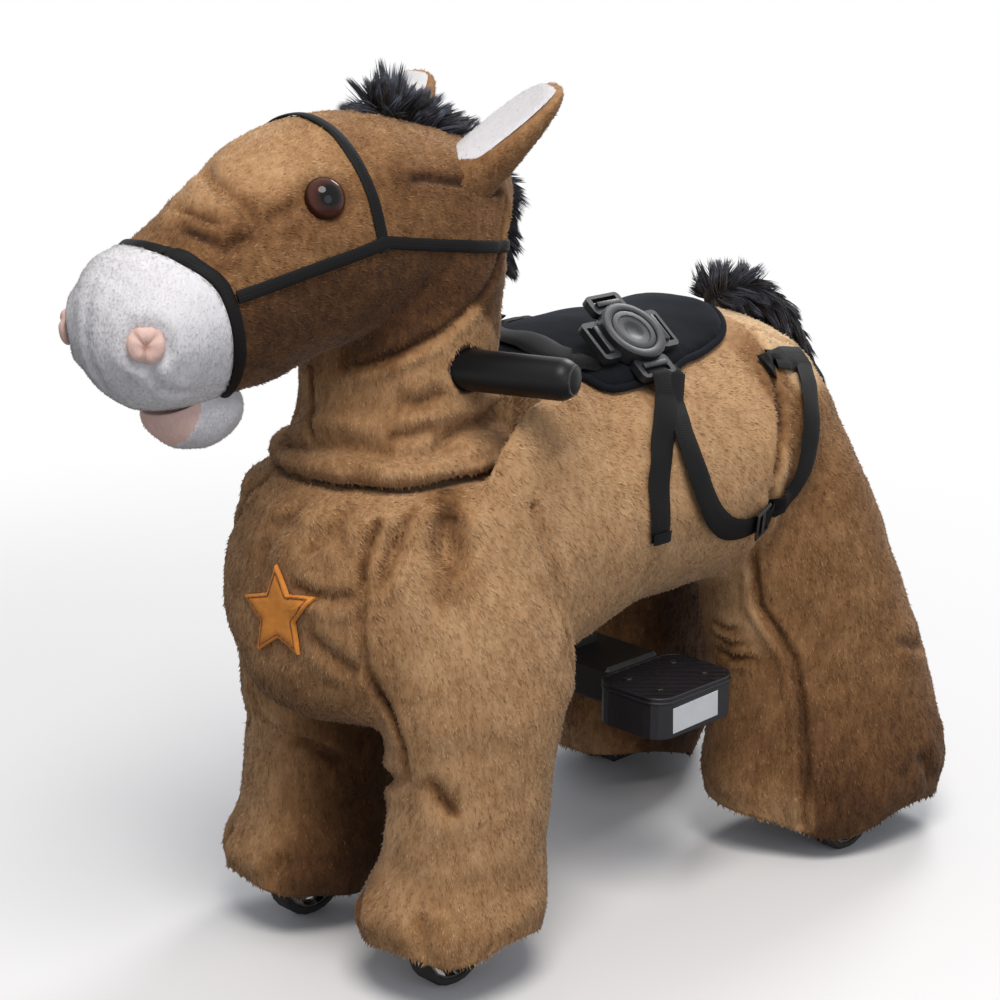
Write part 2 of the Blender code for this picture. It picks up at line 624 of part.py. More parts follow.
# ---- seat support, battery and controller ------------------------------------------------------
posts = ((BOARD_Y[0] + 0.012), (BOARD_Y[1] - 0.012))
board = box("seat_support", (-BOARD_HALF, BOARD_Y[0], BOARD_TOP - BOARD_T),
            (BOARD_HALF, BOARD_Y[1], BOARD_TOP), STEEL)
for index, y in enumerate(posts):
    leg = rod(f"seat_post_{index}", (0, y, spine_top + GAP), (0, y, BOARD_TOP - BOARD_T / 2), 0.010,
              collection=cutters)
    boolean(board, leg, "UNION")
battery_y = sum(posts) / 2
battery = box("battery", (-BATTERY[0] / 2, battery_y - BATTERY[1] / 2, spine_top + GAP),
              (BATTERY[0] / 2, battery_y + BATTERY[1] / 2, spine_top + GAP + BATTERY[2]), PLASTIC)
bevel(battery, 0.003, 1)
controller = box("motor_controller", (-0.032, 0.150, SPINE_Z - GAP - 0.022),
                 (0.032, 0.215, SPINE_Z - GAP), GREY)
bevel(controller, 0.002, 1)

# ---- footrests on their cross bar --------------------------------------------------------------
rest_middle = sum(REST_Y) / 2
bar_z = REST_TOP - TREAD_T - GAP - REST_BAR_R - 0.003
CROSS_Y = 0.060              # width of the cross member
cross_low = REST_TOP - REST_H + REST_WALL + 0.004
cross = box("footrest_beam", (-REST_X[0] + GAP, rest_middle - CROSS_Y / 2, cross_low),
            (REST_X[0] - GAP, rest_middle + CROSS_Y / 2, REST_TOP + 0.004), STEEL)
bevel(cross, 0.003, 1)
hanger = box("footrest_hanger", (-0.018, rest_middle - 0.012, REST_TOP),
             (0.018, rest_middle + 0.012, SPINE_Z - GAP), collection=cutters)
spar = rod("footrest_spar", (-REST_X[1] + 0.012, rest_middle, bar_z),
           (REST_X[1] - 0.012, rest_middle, bar_z), REST_BAR_R, collection=cutters)
boolean(cross, hanger, "UNION")
boolean(cross, spar, "UNION")
TREAD_CORNER = 0.016
GROOVE = 0.0022
GROOVE_STEP = 0.0085
for tag, side in SIDES.items():
    low_x, high_x = sorted((side * REST_X[0], side * REST_X[1]))
    low = (low_x, REST_Y[0])
    high = (high_x, REST_Y[1])
    tread_low = REST_TOP - TREAD_T
    shell_h = REST_H - TREAD_T - GAP
    lift = Matrix.Translation((0, 0, tread_low - GAP - shell_h / 2))
    shell = flat_plate("footrest_shell_" + tag, [rounded(low, high, TREAD_CORNER)], shell_h, lift, PLASTIC)
    inner = [(low_x + REST_WALL, REST_Y[0] + REST_WALL), (high_x - REST_WALL, REST_Y[1] - REST_WALL)]
    hollow = flat_plate("footrest_hollow_" + tag, [rounded(*inner, TREAD_CORNER - REST_WALL)], shell_h,
                        lift @ Matrix.Translation((0, 0, -REST_WALL)), None, cutters)
    boolean(shell, hollow)
    wall_hole = rod("footrest_wall_hole_" + tag, (0, rest_middle, bar_z),
                    (side * (REST_X[0] + 0.02), rest_middle, bar_z), REST_BAR_R + GAP,
                    collection=cutters, sides=32)
    boolean(shell, wall_hole)
    tread = flat_plate("footrest_tread_" + tag, [rounded(low, high, TREAD_CORNER)], TREAD_T,
                       Matrix.Translation((0, 0, tread_low + TREAD_T / 2)), PLASTIC)
    bm = bmesh.new()
    centre = Vector(((low_x + high_x) / 2, rest_middle, REST_TOP))
    turn = Matrix.Rotation(math.radians(45 * side), 4, "Z")
    for row in range(-6, 7):
        at = Matrix.Translation(centre) @ turn @ Matrix.Translation((0, row * GROOVE_STEP, 0))
        bmesh.ops.create_cube(bm, size=1, matrix=at @ Matrix.Diagonal((0.16, GROOVE, 0.0024, 1)))
    boolean(tread, mesh_object("tread_grooves_" + tag, bm, None, cutters))

# ---- plush body cover, hung over the chassis ---------------------------------------------------
body_cover = soft_form("body_cover", *BODY, 0, BODY_KEEP, finish=TAN, collection=parts, wall=PLUSH_WALL)
below = box("hem_cutter", (-0.4, -0.5, -0.1), (0.4, 0.6, HEM_Z), collection=cutters)
neck_hole = rod("neck_hole", (0, STEER_Y, NECK_HEM_Z - 0.010), (0, STEER_Y, 0.60), 0.101, collection=cutters,
                sides=40)
belly_slot = box("belly_slot", (-0.030, rest_middle - 0.020, 0.19), (0.030, rest_middle + 0.020, 0.255),
                 collection=cutters)
board_seat = box("board_seat", (-BOARD_HALF - GAP, BOARD_Y[0] - GAP, BOARD_TOP - 0.04),
                 (BOARD_HALF + GAP, BOARD_Y[1] + GAP, BOARD_TOP + GAP), collection=cutters)
for piece in (below, neck_hole, belly_slot, board_seat):
    boolean(body_cover, piece)


def on_skin(name, stencil, build, voxel, keep, thickness, finish, gap=GAP):
    """A thin soft piece lying on a cover: the part of a grown skin that lies inside a stencil."""
    outer = soft_form(name + "_outer", build, voxel, gap + thickness, keep)
    inner = soft_form(name + "_inner", build, voxel, gap, keep)
    stencil.name = name
    place(stencil, name, finish)
    boolean(stencil, outer, "INTERSECT")
    boolean(stencil, inner)
    return stencil


# ---- saddle, star and tail ---------------------------------------------------------------------
SADDLE_T = 0.010
saddle_outline = [(0.0, 0.203), (0.030, 0.202), (0.052, 0.196), (0.069, 0.180), (0.079, 0.155),
                  (0.088, 0.115), (0.098, 0.070), (0.098, 0.030), (0.085, 0.005), (0.050, -0.008)]
saddle_outline += [(-x, y) for x, y in reversed(saddle_outline[1:])]
stencil = flat_plate("saddle_pad", [saddle_outline], 0.12, Matrix.Translation((0, 0, 0.44)), WEB)
saddle = on_skin("saddle_pad", stencil, *BODY, BODY_KEEP, SADDLE_T, WEB)

STAR_AT = (0.0, 0.292)
STAR_R = 0.037
star_points = []
for corner in range(10):
    reach = STAR_R if corner % 2 == 0 else STAR_R * 0.52
    angle = math.pi / 2 + corner * math.pi / 5
    star_points.append((STAR_AT[0] + reach * math.cos(angle), STAR_AT[1] + reach * math.sin(angle)))
facing = Matrix.Translation((0, -0.24, 0)) @ Matrix.Rotation(math.radians(90), 4, "X")
star = flat_plate("star_patch", [star_points], 0.10, facing, ORANGE)
on_skin("star_patch", star, *BODY, BODY_KEEP, 0.002, ORANGE)


def build_tail(bm):
    stations = [(0.216, 0.447, 0.012, 0.012), (0.234, 0.456, 0.022, 0.018), (0.266, 0.453, 0.028, 0.020),
                (0.300, 0.437, 0.030, 0.022), (0.330, 0.409, 0.031, 0.022), (0.352, 0.368, 0.031, 0.022),
                (0.361, 0.320, 0.030, 0.021), (0.364, 0.270, 0.026, 0.019), (0.364, 0.225, 0.018, 0.014),
                (0.362, 0.195, 0.009, 0.008)]
    add_sweep(bm, [(y + RUMP, z, half_width, half_depth) for y, z, half_width, half_depth in stations])


tail = soft_form("tail", build_tail, 0.010, 0, 0.25, 2, BLACK_FUR, parts)
boolean(tail, body_skin)

# ---- head and neck cover, and what is sewn to it -----------------------------------------------
head_cover = soft_form("head_cover", *HEAD, 0, HEAD_KEEP, finish=TAN, collection=parts, wall=HEAD_WALL)
SEAM_TOP = Vector((0, -0.322, 0.575))
SEAM_LOW = Vector((0, -0.294, 0.455))


def seam_half(name, gap):
    """The space in front of the muzzle seam, as a block with a tilted back face."""
    along = (SEAM_LOW - SEAM_TOP).normalized()
    normal = Vector((0, along.z, -along.y))
    if normal.y > 0:
        normal = -normal
    centre = (SEAM_TOP + SEAM_LOW) / 2 + normal * (0.1 + gap)
    turn = normal.to_track_quat("Z", "Y").to_matrix().to_4x4()
    bm = bmesh.new()
    bmesh.ops.create_cube(bm, size=0.2, matrix=Matrix.Translation(centre) @ turn)
    return mesh_object(name, bm, None, cutters)


in_front = seam_half("in_front_of_seam", 0)
hem_cut = rod("neck_hem_cutter", (0, STEER_Y, 0.30), (0, STEER_Y, NECK_HEM_Z), 0.15,
              collection=cutters, sides=32)
boolean(head_cover, hem_cut)
boolean(head_cover, in_front)

MUZZLE_AT = Vector((0, -0.331, 0.509))
MUZZLE_R = Vector((0.055, 0.056, 0.054))
JAW_AT = Vector((0, -0.296, 0.448))
JAW_R = Vector((0.029, 0.034, 0.024))


def add_ball(bm, centre, radii, grow=0.0, turn=Matrix.Identity(4), sides=20, rings=12):
    sizes = Matrix.Diagonal((*(r + grow for r in radii), 1))
    bmesh.ops.create_uvsphere(bm, u_segments=sides, v_segments=rings, radius=1,
                              matrix=Matrix.Translation(centre) @ turn @ sizes)


def ball(name, centre, radii, finish=None, collection=None, grow=0.0):
    bm = bmesh.new()
    add_ball(bm, centre, radii, grow)
    return mesh_object(name, bm, finish, collection)


muzzle = ball("muzzle", MUZZLE_AT, MUZZLE_R, WHITE)
boolean(muzzle, seam_half("in_front_of_muzzle", GAP), "INTERSECT")
jaw = ball("jaw", JAW_AT, JAW_R, WHITE)
boolean(jaw, ball("muzzle_clearance", MUZZLE_AT, MUZZLE_R, None, cutters, GAP))
boolean(jaw, head_and_tape)


def place_local(name, bm, centre, along, facing, finish):
    """Turns a shape built along its own +Z, with its flat side on +Y, to a direction in the ride."""
    z = Vector(along).normalized()
    x = Vector(facing).cross(z).normalized()
    turn = Matrix((x, z.cross(x), z)).transposed().to_4x4()
    bm.transform(Matrix.Translation(centre) @ turn)
    return mesh_object(name, bm, finish)


EAR_ROOT = Vector((0.046, -0.102, 0.585))
EAR_TIP = Vector((0.072, -0.028, 0.647))
EAR_FACING = Vector((0.55, -0.70, 0.45))
ear_len = (EAR_TIP - EAR_ROOT).length
for tag, side in SIDES.items():
    mirror = Vector((side, 1, 1))
    bm = bmesh.new()
    add_loft(bm, [(0, 0, -0.012, 0.014, 0.010),
                  (0, 0, ear_len * 0.18, 0.019, 0.009),
                  (0, 0, ear_len * 0.45, 0.023, 0.008),
                  (0, 0, ear_len * 0.75, 0.020, 0.007),
                  (0, 0, ear_len * 0.93, 0.013, 0.005),
                  (0, 0, ear_len, 0.006, 0.003)], upright=True, sides=16)
    ear = place_local("ear_" + tag, bm, EAR_ROOT * mirror, (EAR_TIP - EAR_ROOT) * mirror,
                      EAR_FACING * mirror, TAN)
    boolean(ear, head_skin)
    hang(ear, steering)

EYE_AT = Vector((0.0575, -0.227, 0.588))
EYE_FACING = Vector((0.90, -0.28, 0.33))
EYE_R = 0.014
for tag, side in SIDES.items():
    mirror = Vector((side, 1, 1))
    profile = [(0.0, 0.009), (0.006, 0.0075), (0.011, 0.0035), (EYE_R, -0.002), (EYE_R, -0.006),
               (0.0, -0.006)]
    eye = turned("eye_" + tag, profile, EYE_AT * mirror, EYE_FACING * mirror, GLASS, steps=20)
    boolean(eye, head_skin)
    hang(eye, steering)


def tape_slab(name, start, end, reach=0.12):
    """A slab across the whole head whose edge view is the tape's course, as (y, z) points."""
    start, end = Vector((0, *start)), Vector((0, *end))
    bm = bmesh.new()
    turn = (end - start).to_track_quat("Z", "X").to_matrix().to_4x4()
    sizes = Matrix.Diagonal((TAPE, 2 * reach, (end - start).length, 1))
    bmesh.ops.create_cube(bm, size=1, matrix=Matrix.Translation((start + end) / 2) @ turn @ sizes)
    return mesh_object(name, bm, None, cutters)


seam_dir = (SEAM_TOP - SEAM_LOW).normalized()
back_of_seam = Vector((0, seam_dir.z, -seam_dir.y)) * (TAPE / 2 + GAP)
nose_top = SEAM_TOP + back_of_seam + seam_dir * 0.03
nose_low = SEAM_LOW + back_of_seam - seam_dir * 0.03
JOINT = (-0.190, 0.556)      # where cheek, brow and neck tapes meet, as (y, z)
noseband = tape_slab("bridle", (nose_low.y, nose_low.z), (nose_top.y, nose_top.z))
CHEEK_AT = (-0.308, 0.530)
boolean(noseband, tape_slab("cheek_slab", CHEEK_AT, JOINT, 0.125), "UNION")
boolean(noseband, tape_slab("neck_slab", (JOINT[0] - 0.004, JOINT[1]), (0.02, 0.524), 0.130), "UNION")
boolean(noseband, tape_slab("brow_slab", (JOINT[0], JOINT[1] - 0.003), (-0.222, 0.68), 0.135), "UNION")
bridle = on_skin("bridle", noseband, *HEAD, HEAD_KEEP, TAPE_T, WEB)


def build_mane(bm):
    add_sweep(bm, [(-0.156, 0.640, 0.010, 0.009), (-0.138, 0.645, 0.018, 0.014),
                   (-0.105, 0.643, 0.020, 0.017), (-0.068, 0.628, 0.020, 0.018),
                   (-0.034, 0.602, 0.019, 0.018), (-0.014, 0.564, 0.017, 0.016),
                   (-0.010, 0.530, 0.014, 0.013), (-0.010, 0.510, 0.010, 0.009)])


mane = soft_form("mane", build_mane, 0.007, 0, 0.20, 2, BLACK_FUR, parts)
boolean(mane, head_and_tape)

# ---- steering column, handlebar and grips ------------------------------------------------------
pitman_low = bar_low + bar_t + RUNNING
column = rod("steering_column", (0, STEER_Y, pitman_low), (0, STEER_Y, 0.530), COLUMN_R, STEEL, sides=24)
pitman = box("pitman_arm", (-0.008, STEER_Y - 0.010, pitman_low),
             (0.008, pitman_y + 0.008, pitman_low + 0.006), collection=cutters)
pitman_pin = rod("pitman_pin", (0, pitman_y, bar_low + 0.0005), (0, pitman_y, pitman_low + 0.003), PIN_R,
                 collection=cutters, sides=16)
collar_low = HEAD_TUBE[1] + GAP
thrust = rod("column_collar", (0, STEER_Y, collar_low), (0, STEER_Y, HEAD_TUBE[1] + 0.006), 0.017,
             collection=cutters)
disc = rod("column_disc", (0, STEER_Y, 0.524), (0, STEER_Y, 0.530), 0.035, collection=cutters, sides=24)
for piece in (pitman, pitman_pin, thrust, disc):
    boolean(column, piece, "UNION")
HANDLE_R = 0.011
BEND_X = 0.062
SWEEP = math.radians(20)
grip_dir = Vector((math.cos(SWEEP), math.sin(SWEEP), 0))
bend = Vector((BEND_X, STEER_Y, BAR_Z))
grip_root = bend + grip_dir * 0.006
bar_end = grip_root + grip_dir * (GRIP_LEN - 0.007)
column_hole = rod("handlebar_hole", (-0.03, STEER_Y, BAR_Z), (0.03, STEER_Y, BAR_Z), HANDLE_R + GAP,
                  collection=cutters, sides=24)
boolean(column, column_hole)

curve = bpy.data.curves.new("handlebar", "CURVE")
curve.dimensions = "3D"
curve.bevel_depth = HANDLE_R
curve.bevel_resolution = 3
curve.use_fill_caps = True
line = curve.splines.new("POLY")
flip = Vector((-1, 1, 1))
inner_bend = bend - Vector((0.012, 0, 0))
outer_bend = bend + grip_dir * 0.004
route = [bar_end * flip, outer_bend * flip, inner_bend * flip, inner_bend, outer_bend, bar_end]
line.points.add(len(route) - 1)
for point, at in zip(line.points, route):
    point.co = (*at, 1)
handlebar = place(bpy.data.objects.new("handlebar", curve), "handlebar", STEEL)
for tag, side in SIDES.items():
    mirror = Vector((side, 1, 1))
    bore = HANDLE_R + GAP
    profile = [(0.0, GRIP_LEN), (0.006, GRIP_LEN - 0.0006), (0.011, GRIP_LEN - 0.003),
               (0.014, GRIP_LEN - 0.007), (GRIP_R, GRIP_LEN - 0.012), (GRIP_R, 0.0), (bore, 0.0),
               (bore, GRIP_LEN - 0.0065), (0.0, GRIP_LEN - 0.0065)]
    grip = turned("grip_" + tag, profile, grip_root * mirror, grip_dir * mirror, FOAM, steps=24)
    hang(grip, steering)
    start = (grip_root - grip_dir * 0.03) * mirror
    hole = rod("sleeve_hole_" + tag, start, (grip_root + grip_dir * 0.05) * mirror, GRIP_R + GAP,
               collection=cutters, sides=32)
    boolean(head_cover, hole)

# ---- throttle lever under the right grip -------------------------------------------------------
LEVER_H = 0.005
lever_top = BAR_Z - GRIP_R - RUNNING
lever_at = (grip_root + grip_dir * 0.030) * flip
lever_at.z = lever_top - LEVER_H
throttle_axis = pivot("throttle_axis", lever_at, (0, 0, 1), steering)
lever = rod("throttle_lever", lever_at, lever_at + Vector((0, 0, LEVER_H)), 0.007, PLASTIC, sides=20)
paddle = flat_plate("throttle_paddle", [rounded((-0.034, 0.001), (0, 0.013), 0.004, 3)], 0.003,
                    Matrix.Translation(lever_at + Vector((0, 0, 0.0015))), None, cutters)
boolean(lever, paddle, "UNION")
hang(lever, throttle_axis)

for thing in (head_cover, muzzle, jaw, mane, bridle, column, handlebar):
    hang(thing, steering)

# ---- harness: buckle, button and webbing -------------------------------------------------------
buckle_turn = Matrix.Translation(BUCKLE_AT) @ Matrix.Rotation(BUCKLE_TILT, 4, "Y")
LUG = (0.036, 0.018, 0.006)  # across, out and thick
SLOT = (WEBBING + 0.001, 0.0045)


def lug(name, angle, finish=None, collection=None):
    """A webbing lug standing out of the buckle's rim; angle 0 points down the horse's left flank."""
    turn = buckle_turn @ Matrix.Rotation(angle, 4, "Z")
    inner = BUCKLE_R - 0.004
    outline = rounded((inner, -LUG[0] / 2), (inner + LUG[1], LUG[0] / 2), 0.004, 3)
    near, far = inner + 0.0105, inner + 0.0105 + SLOT[1]
    slot = [(near, -SLOT[0] / 2), (near, SLOT[0] / 2), (far, SLOT[0] / 2), (far, -SLOT[0] / 2)]
    place_at = turn @ Matrix.Translation((0, 0, -0.002))
    return flat_plate(name, [outline, slot], LUG[2], place_at, finish, collection)


half_t = BUCKLE_T / 2
bm = bmesh.new()
add_rod(bm, (0, 0, -half_t), (0, 0, half_t), BUCKLE_R, 36)
bm.transform(buckle_turn)
housing = mesh_object("buckle_housing", bm, PLASTIC)
front_lug = lug("front_lug", math.radians(-90), None, cutters)
inner_lug = lug("inner_lug", math.radians(180), None, cutters)
boolean(housing, front_lug, "UNION")
boolean(housing, inner_lug, "UNION")
bm = bmesh.new()
add_rod(bm, (0, 0, half_t - 0.0065), (0, 0, half_t + 0.01), BUTTON_R + GAP, 32)
add_rod(bm, (0, 0, -half_t + 0.0015), (0, 0, half_t - 0.006), 0.010, 20)
bm.transform(buckle_turn)
well = mesh_object("buckle_well", bm, None, cutters)
boolean(housing, well)
tongues = {}
for name, angle in (("buckle_tongue_waist", 0.0), ("buckle_tongue_crotch", math.radians(90))):
    tongues[name] = lug(name, angle, PLASTIC)
    round_hole = bmesh.new()
    add_rod(round_hole, (0, 0, -0.02), (0, 0, 0.02), BUCKLE_R + GAP, 36)
    round_hole.transform(buckle_turn)
    boolean(tongues[name], mesh_object(name + "_clearance", round_hole, None, cutters))

button_axis = pivot("button_axis", BUCKLE_AT, buckle_turn.to_3x3() @ Vector((0, 0, 1)))
profile = [(0.0, half_t - 0.0006), (0.010, half_t - 0.0006), (BUTTON_R - 0.001, half_t),
           (BUTTON_R, half_t - 0.001), (BUTTON_R, half_t - 0.0036), (0.0, half_t - 0.0036)]
button_way = buckle_turn.to_3x3() @ Vector((0, 0, 1))
button = turned("buckle_button", profile, BUCKLE_AT, button_way, PLASTIC, steps=28)
hang(button, button_axis)

buckle_room = rod("buckle_room", (0, 0, -half_t - GAP), (0, 0, half_t + GAP), BUCKLE_R + GAP,
                  collection=cutters, sides=36)
buckle_room.matrix_world = buckle_turn
room_half = (LUG[0] / 2 + GAP, BUCKLE_R + LUG[1] - 0.003)
room_t = LUG[2] + 2 * GAP
room_at = buckle_turn @ Matrix.Translation((0, 0, -0.002))
lug_room = rounded((-room_half[0], -room_half[1]), room_half, 0.004, 3)
long_room = flat_plate("lug_room_long", [lug_room], room_t, room_at, None, cutters)
wide_room = flat_plate("lug_room_wide", [[(y, x) for x, y in lug_room]], room_t, room_at, None, cutters)
SHOULDER_T = 0.011           # folded shoulder straps under the buckle
strap_outline = band([(0.062, 0.086), (0.062, 0.020), (0.044, -0.001), (0.010, -0.006), (-0.034, 0.004),
                      (-0.052, 0.030), (-0.056, 0.070)], WEBBING)
stencil = flat_plate("shoulder_straps", [strap_outline], 0.12, Matrix.Translation((0, 0, 0.45)), WEB)
shoulder = on_skin("shoulder_straps", stencil, *BODY, BODY_KEEP, SHOULDER_T, WEB, SADDLE_T + 2 * GAP)
for piece in (buckle_room, long_room, wide_room):
    boolean(shoulder, piece)
    boolean(saddle, piece)

# ---- webbing on the left flank -----------------------------------------------------------------
FLANK_X = 0.0988             # just outside the saddle's edge
FLANK_FACING = Matrix(((0, 0, 1, 0), (1, 0, 0, 0), (0, 1, 0, 0), (0, 0, 0, 1)))
DROP_T = 0.0018
DROP_X = 0.1000 + (BUCKLE_R - 0.027) * math.cos(BUCKLE_TILT)   # just outside the buckle's outer lug


def flank_webbing(name, route, width, drop):
    """Webbing on the flank along a (y, z) route, with a short drop from the buckle's outer lug."""
    middle = Matrix.Translation((FLANK_X + 0.05, 0, 0)) @ FLANK_FACING
    strap = flat_plate(name, [band(route, width)], 0.10, middle, WEB)
    on_skin(name, strap, *BODY, BODY_KEEP, WEBBING_T, WEB)
    low, high = drop
    fall = box(name + "_drop", (DROP_X, low, 0.402), (DROP_X + DROP_T, high, 0.430), collection=cutters)
    boolean(strap, fall, "UNION")
    boolean(strap, body_skin)
    return strap


TAIL = [(0.0642, 0.440), (0.056, 0.413), (0.046, 0.380), (0.036, 0.350), (0.028, 0.322)]
flank_webbing("flank_strap", TAIL, WEBBING, (0.0475, 0.0670))
LOOP = [(0.0814, 0.440), (0.082, 0.413), (0.083, 0.370), (0.089, 0.342), (0.104, 0.324), (0.126, 0.324),
        (0.150, 0.345), (0.172, 0.380), (0.188, 0.425)]
flank_webbing("loop_strap", LOOP, WEBBING * 0.8, (0.0730, 0.0780))
slider = flat_plate("strap_slider", [band([(0.110, 0.3215), (0.124, 0.3225)], 0.032)], 0.10,
                    Matrix.Translation((FLANK_X + 0.05, 0, 0)) @ FLANK_FACING, PLASTIC)
on_skin("strap_slider", slider, *BODY, BODY_KEEP, 0.0025, PLASTIC, WEBBING_T + 2 * GAP)
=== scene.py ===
import math

import bmesh
import bpy
import numpy as np
from mathutils import Matrix, Vector, noise
from mathutils.bvhtree import BVHTree


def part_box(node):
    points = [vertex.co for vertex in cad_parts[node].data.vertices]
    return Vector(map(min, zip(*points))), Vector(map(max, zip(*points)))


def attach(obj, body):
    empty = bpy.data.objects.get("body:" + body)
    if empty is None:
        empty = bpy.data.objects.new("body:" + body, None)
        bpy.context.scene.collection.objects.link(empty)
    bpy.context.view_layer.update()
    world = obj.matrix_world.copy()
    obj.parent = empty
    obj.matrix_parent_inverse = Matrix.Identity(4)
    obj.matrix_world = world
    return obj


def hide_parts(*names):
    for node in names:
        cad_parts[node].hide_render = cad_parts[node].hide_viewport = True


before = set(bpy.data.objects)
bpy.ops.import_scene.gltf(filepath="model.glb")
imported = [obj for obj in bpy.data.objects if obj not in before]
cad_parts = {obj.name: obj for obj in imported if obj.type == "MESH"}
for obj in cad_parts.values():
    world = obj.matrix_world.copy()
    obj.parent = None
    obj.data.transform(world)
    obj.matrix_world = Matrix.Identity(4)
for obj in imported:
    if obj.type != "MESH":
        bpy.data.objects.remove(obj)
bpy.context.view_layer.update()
bpy.ops.object.select_all(action="DESELECT")

# ---- studio ----------------------------------------------------------------------------------
# A pale seamless floor under a white sky, with one broad key light high in front of the horse,
# a weaker fill on its left side and a rim light behind. The camera looks down on its left shoulder.
def linear(code):
    """A colour written in hex as the linear values that a shader takes."""
    parts = [int(code[i:i + 2], 16) / 255 for i in (1, 3, 5)]
    return (*(c / 12.92 if c <= 0.04045 else ((c + 0.055) / 1.055) ** 2.4 for c in parts), 1.0)


def add_node(material, kind, values=None, links=None, **settings):
    """Adds one shader node with its inputs' values, the sockets that feed it and its settings."""
    made = material.node_tree.nodes.new("ShaderNode" + kind)
    for key, value in settings.items():
        setattr(made, key, value)
    for key, value in (values or {}).items():
        made.inputs[key].default_value = value
    for key, source in (links or {}).items():
        material.node_tree.links.new(source, made.inputs[key])
    return made


def new_material(name):
    """An empty node material."""
    material = bpy.data.materials.new(name)
    material.use_nodes = True
    material.node_tree.nodes.clear()
    return material


VIEW_AZIMUTH = math.radians(45.544)
VIEW_ELEVATION = math.radians(16.19)
LOOK_AT = Vector((-0.01414, 0.00244, 0.3212))
DISTANCE = 1.752
towards = Vector((math.sin(VIEW_AZIMUTH) * math.cos(VIEW_ELEVATION),
                  -math.cos(VIEW_AZIMUTH) * math.cos(VIEW_ELEVATION), math.sin(VIEW_ELEVATION)))
camera = bpy.data.objects.new("camera", bpy.data.cameras.new("camera"))
bpy.context.scene.collection.objects.link(camera)
camera.data.lens = 81.35
camera.data.sensor_width = 36
camera.location = LOOK_AT + towards * DISTANCE
camera.rotation_euler = towards.to_track_quat("Z", "Y").to_euler()
bpy.context.scene.camera = camera
bpy.context.scene.view_settings.view_transform = "Standard"

bpy.ops.mesh.primitive_circle_add(vertices=96, radius=7.0, fill_type="NGON", location=(0, 0, -0.0005))
floor = bpy.context.active_object
floor.name = "studio_floor"
paper = new_material("white_studio_paper")
where = add_node(paper, "TexCoord")
spread = add_node(paper, "VectorMath", {1: (1, 1, 0)}, {0: where.outputs["Object"]}, operation="MULTIPLY")
reach = add_node(paper, "VectorMath", None, {0: spread.outputs[0]}, operation="LENGTH")
fade = add_node(paper, "MapRange", {"From Min": 0.55, "From Max": 1.5, "To Min": 0.0, "To Max": 1.0},
                {"Value": reach.outputs["Value"]}, interpolation_type="SMOOTHSTEP")
seen = add_node(paper, "LightPath")
either = add_node(paper, "Math", None, {0: seen.outputs["Is Camera Ray"], 1: seen.outputs["Is Glossy Ray"]},
                  operation="MAXIMUM")
share = add_node(paper, "Math", None, {0: either.outputs[0], 1: fade.outputs["Result"]}, operation="MULTIPLY")
tint = add_node(paper, "MixRGB", {"Color1": linear("#9A9A9A"), "Color2": linear("#F6F6F6")},
                {"Fac": seen.outputs["Is Camera Ray"]})
matt = add_node(paper, "BsdfDiffuse", None, {"Color": tint.outputs["Color"]})
glow = add_node(paper, "Emission", {"Color": (1, 1, 1, 1), "Strength": 1.0})
both = add_node(paper, "MixShader", None, {0: share.outputs[0], 1: matt.outputs[0], 2: glow.outputs[0]})
add_node(paper, "OutputMaterial", None, {"Surface": both.outputs[0]})
floor.data.materials.append(paper)

world = bpy.data.worlds.new("studio_world")
world.use_nodes = True
bpy.context.scene.world = world
world.node_tree.nodes.clear()
seen = add_node(world, "LightPath")
either = add_node(world, "Math", None, {0: seen.outputs["Is Camera Ray"], 1: seen.outputs["Is Glossy Ray"]},
                  operation="MAXIMUM")
either = add_node(world, "Math", None, {0: either.outputs[0], 1: seen.outputs["Is Transmission Ray"]},
                  operation="MAXIMUM")
soft = add_node(world, "Background", {"Color": linear("#F3F6FF"), "Strength": 0.40})
white = add_node(world, "Background", {"Color": (1, 1, 1, 1), "Strength": 1.0})
both = add_node(world, "MixShader", None, {0: either.outputs[0], 1: soft.outputs[0], 2: white.outputs[0]})
add_node(world, "OutputWorld", None, {"Surface": both.outputs[0]})


def studio_light(name, location, target, size, power, colour):
    """A round soft box that faces its target."""
    lamp = bpy.data.lights.new(name, "AREA")
    lamp.shape = "DISK"
    lamp.size = size
    lamp.energy = power
    lamp.color = linear(colour)[:3]
    thing = bpy.data.objects.new(name, lamp)
    bpy.context.scene.collection.objects.link(thing)
    thing.location = location
    thing.rotation_euler = (Vector(location) - Vector(target)).to_track_quat("Z", "Y").to_euler()
    return thing


studio_light("key_light", (1.1, -0.9, 2.6), (0, -0.05, 0.35), 1.3, 50, "#FFFAF4")
studio_light("fill_light", (2.6, -0.6, 1.1), (0, 0, 0.3), 1.6, 10, "#F2F6FF")
studio_light("back_light", (-0.6, 2.0, 2.0), (0, 0.1, 0.35), 1.0, 24, "#FFFFFF")

# ---- plush body cover --------------------------------------------------------------------------
# One sewn cover of tan short-pile plush over foam: barrel, chest, rump and four open legs that hang
# over the chassis. It is lofted from rings, melted into one skin, then its seams and folds are pressed in.
SEAT_Z = 0.445
BELLY_Z = 0.229
FRONT_AXLE = (0.081, -0.145)
REAR_AXLE = (0.140, 0.252)
HEAD_AXIS_Y = -0.115


def bridge(bm, rings, closed=False):
    """Skins a run of rings, capped at both ends unless the last ring meets the first."""
    for lower, upper in zip(rings, rings[1:] + rings[:1] if closed else rings[1:]):
        for i in range(len(lower)):
            j = (i + 1) % len(lower)
            bm.faces.new((lower[i], lower[j], upper[j], upper[i]))
    if not closed:
        bm.faces.new(list(reversed(rings[0])))
        bm.faces.new(rings[-1])


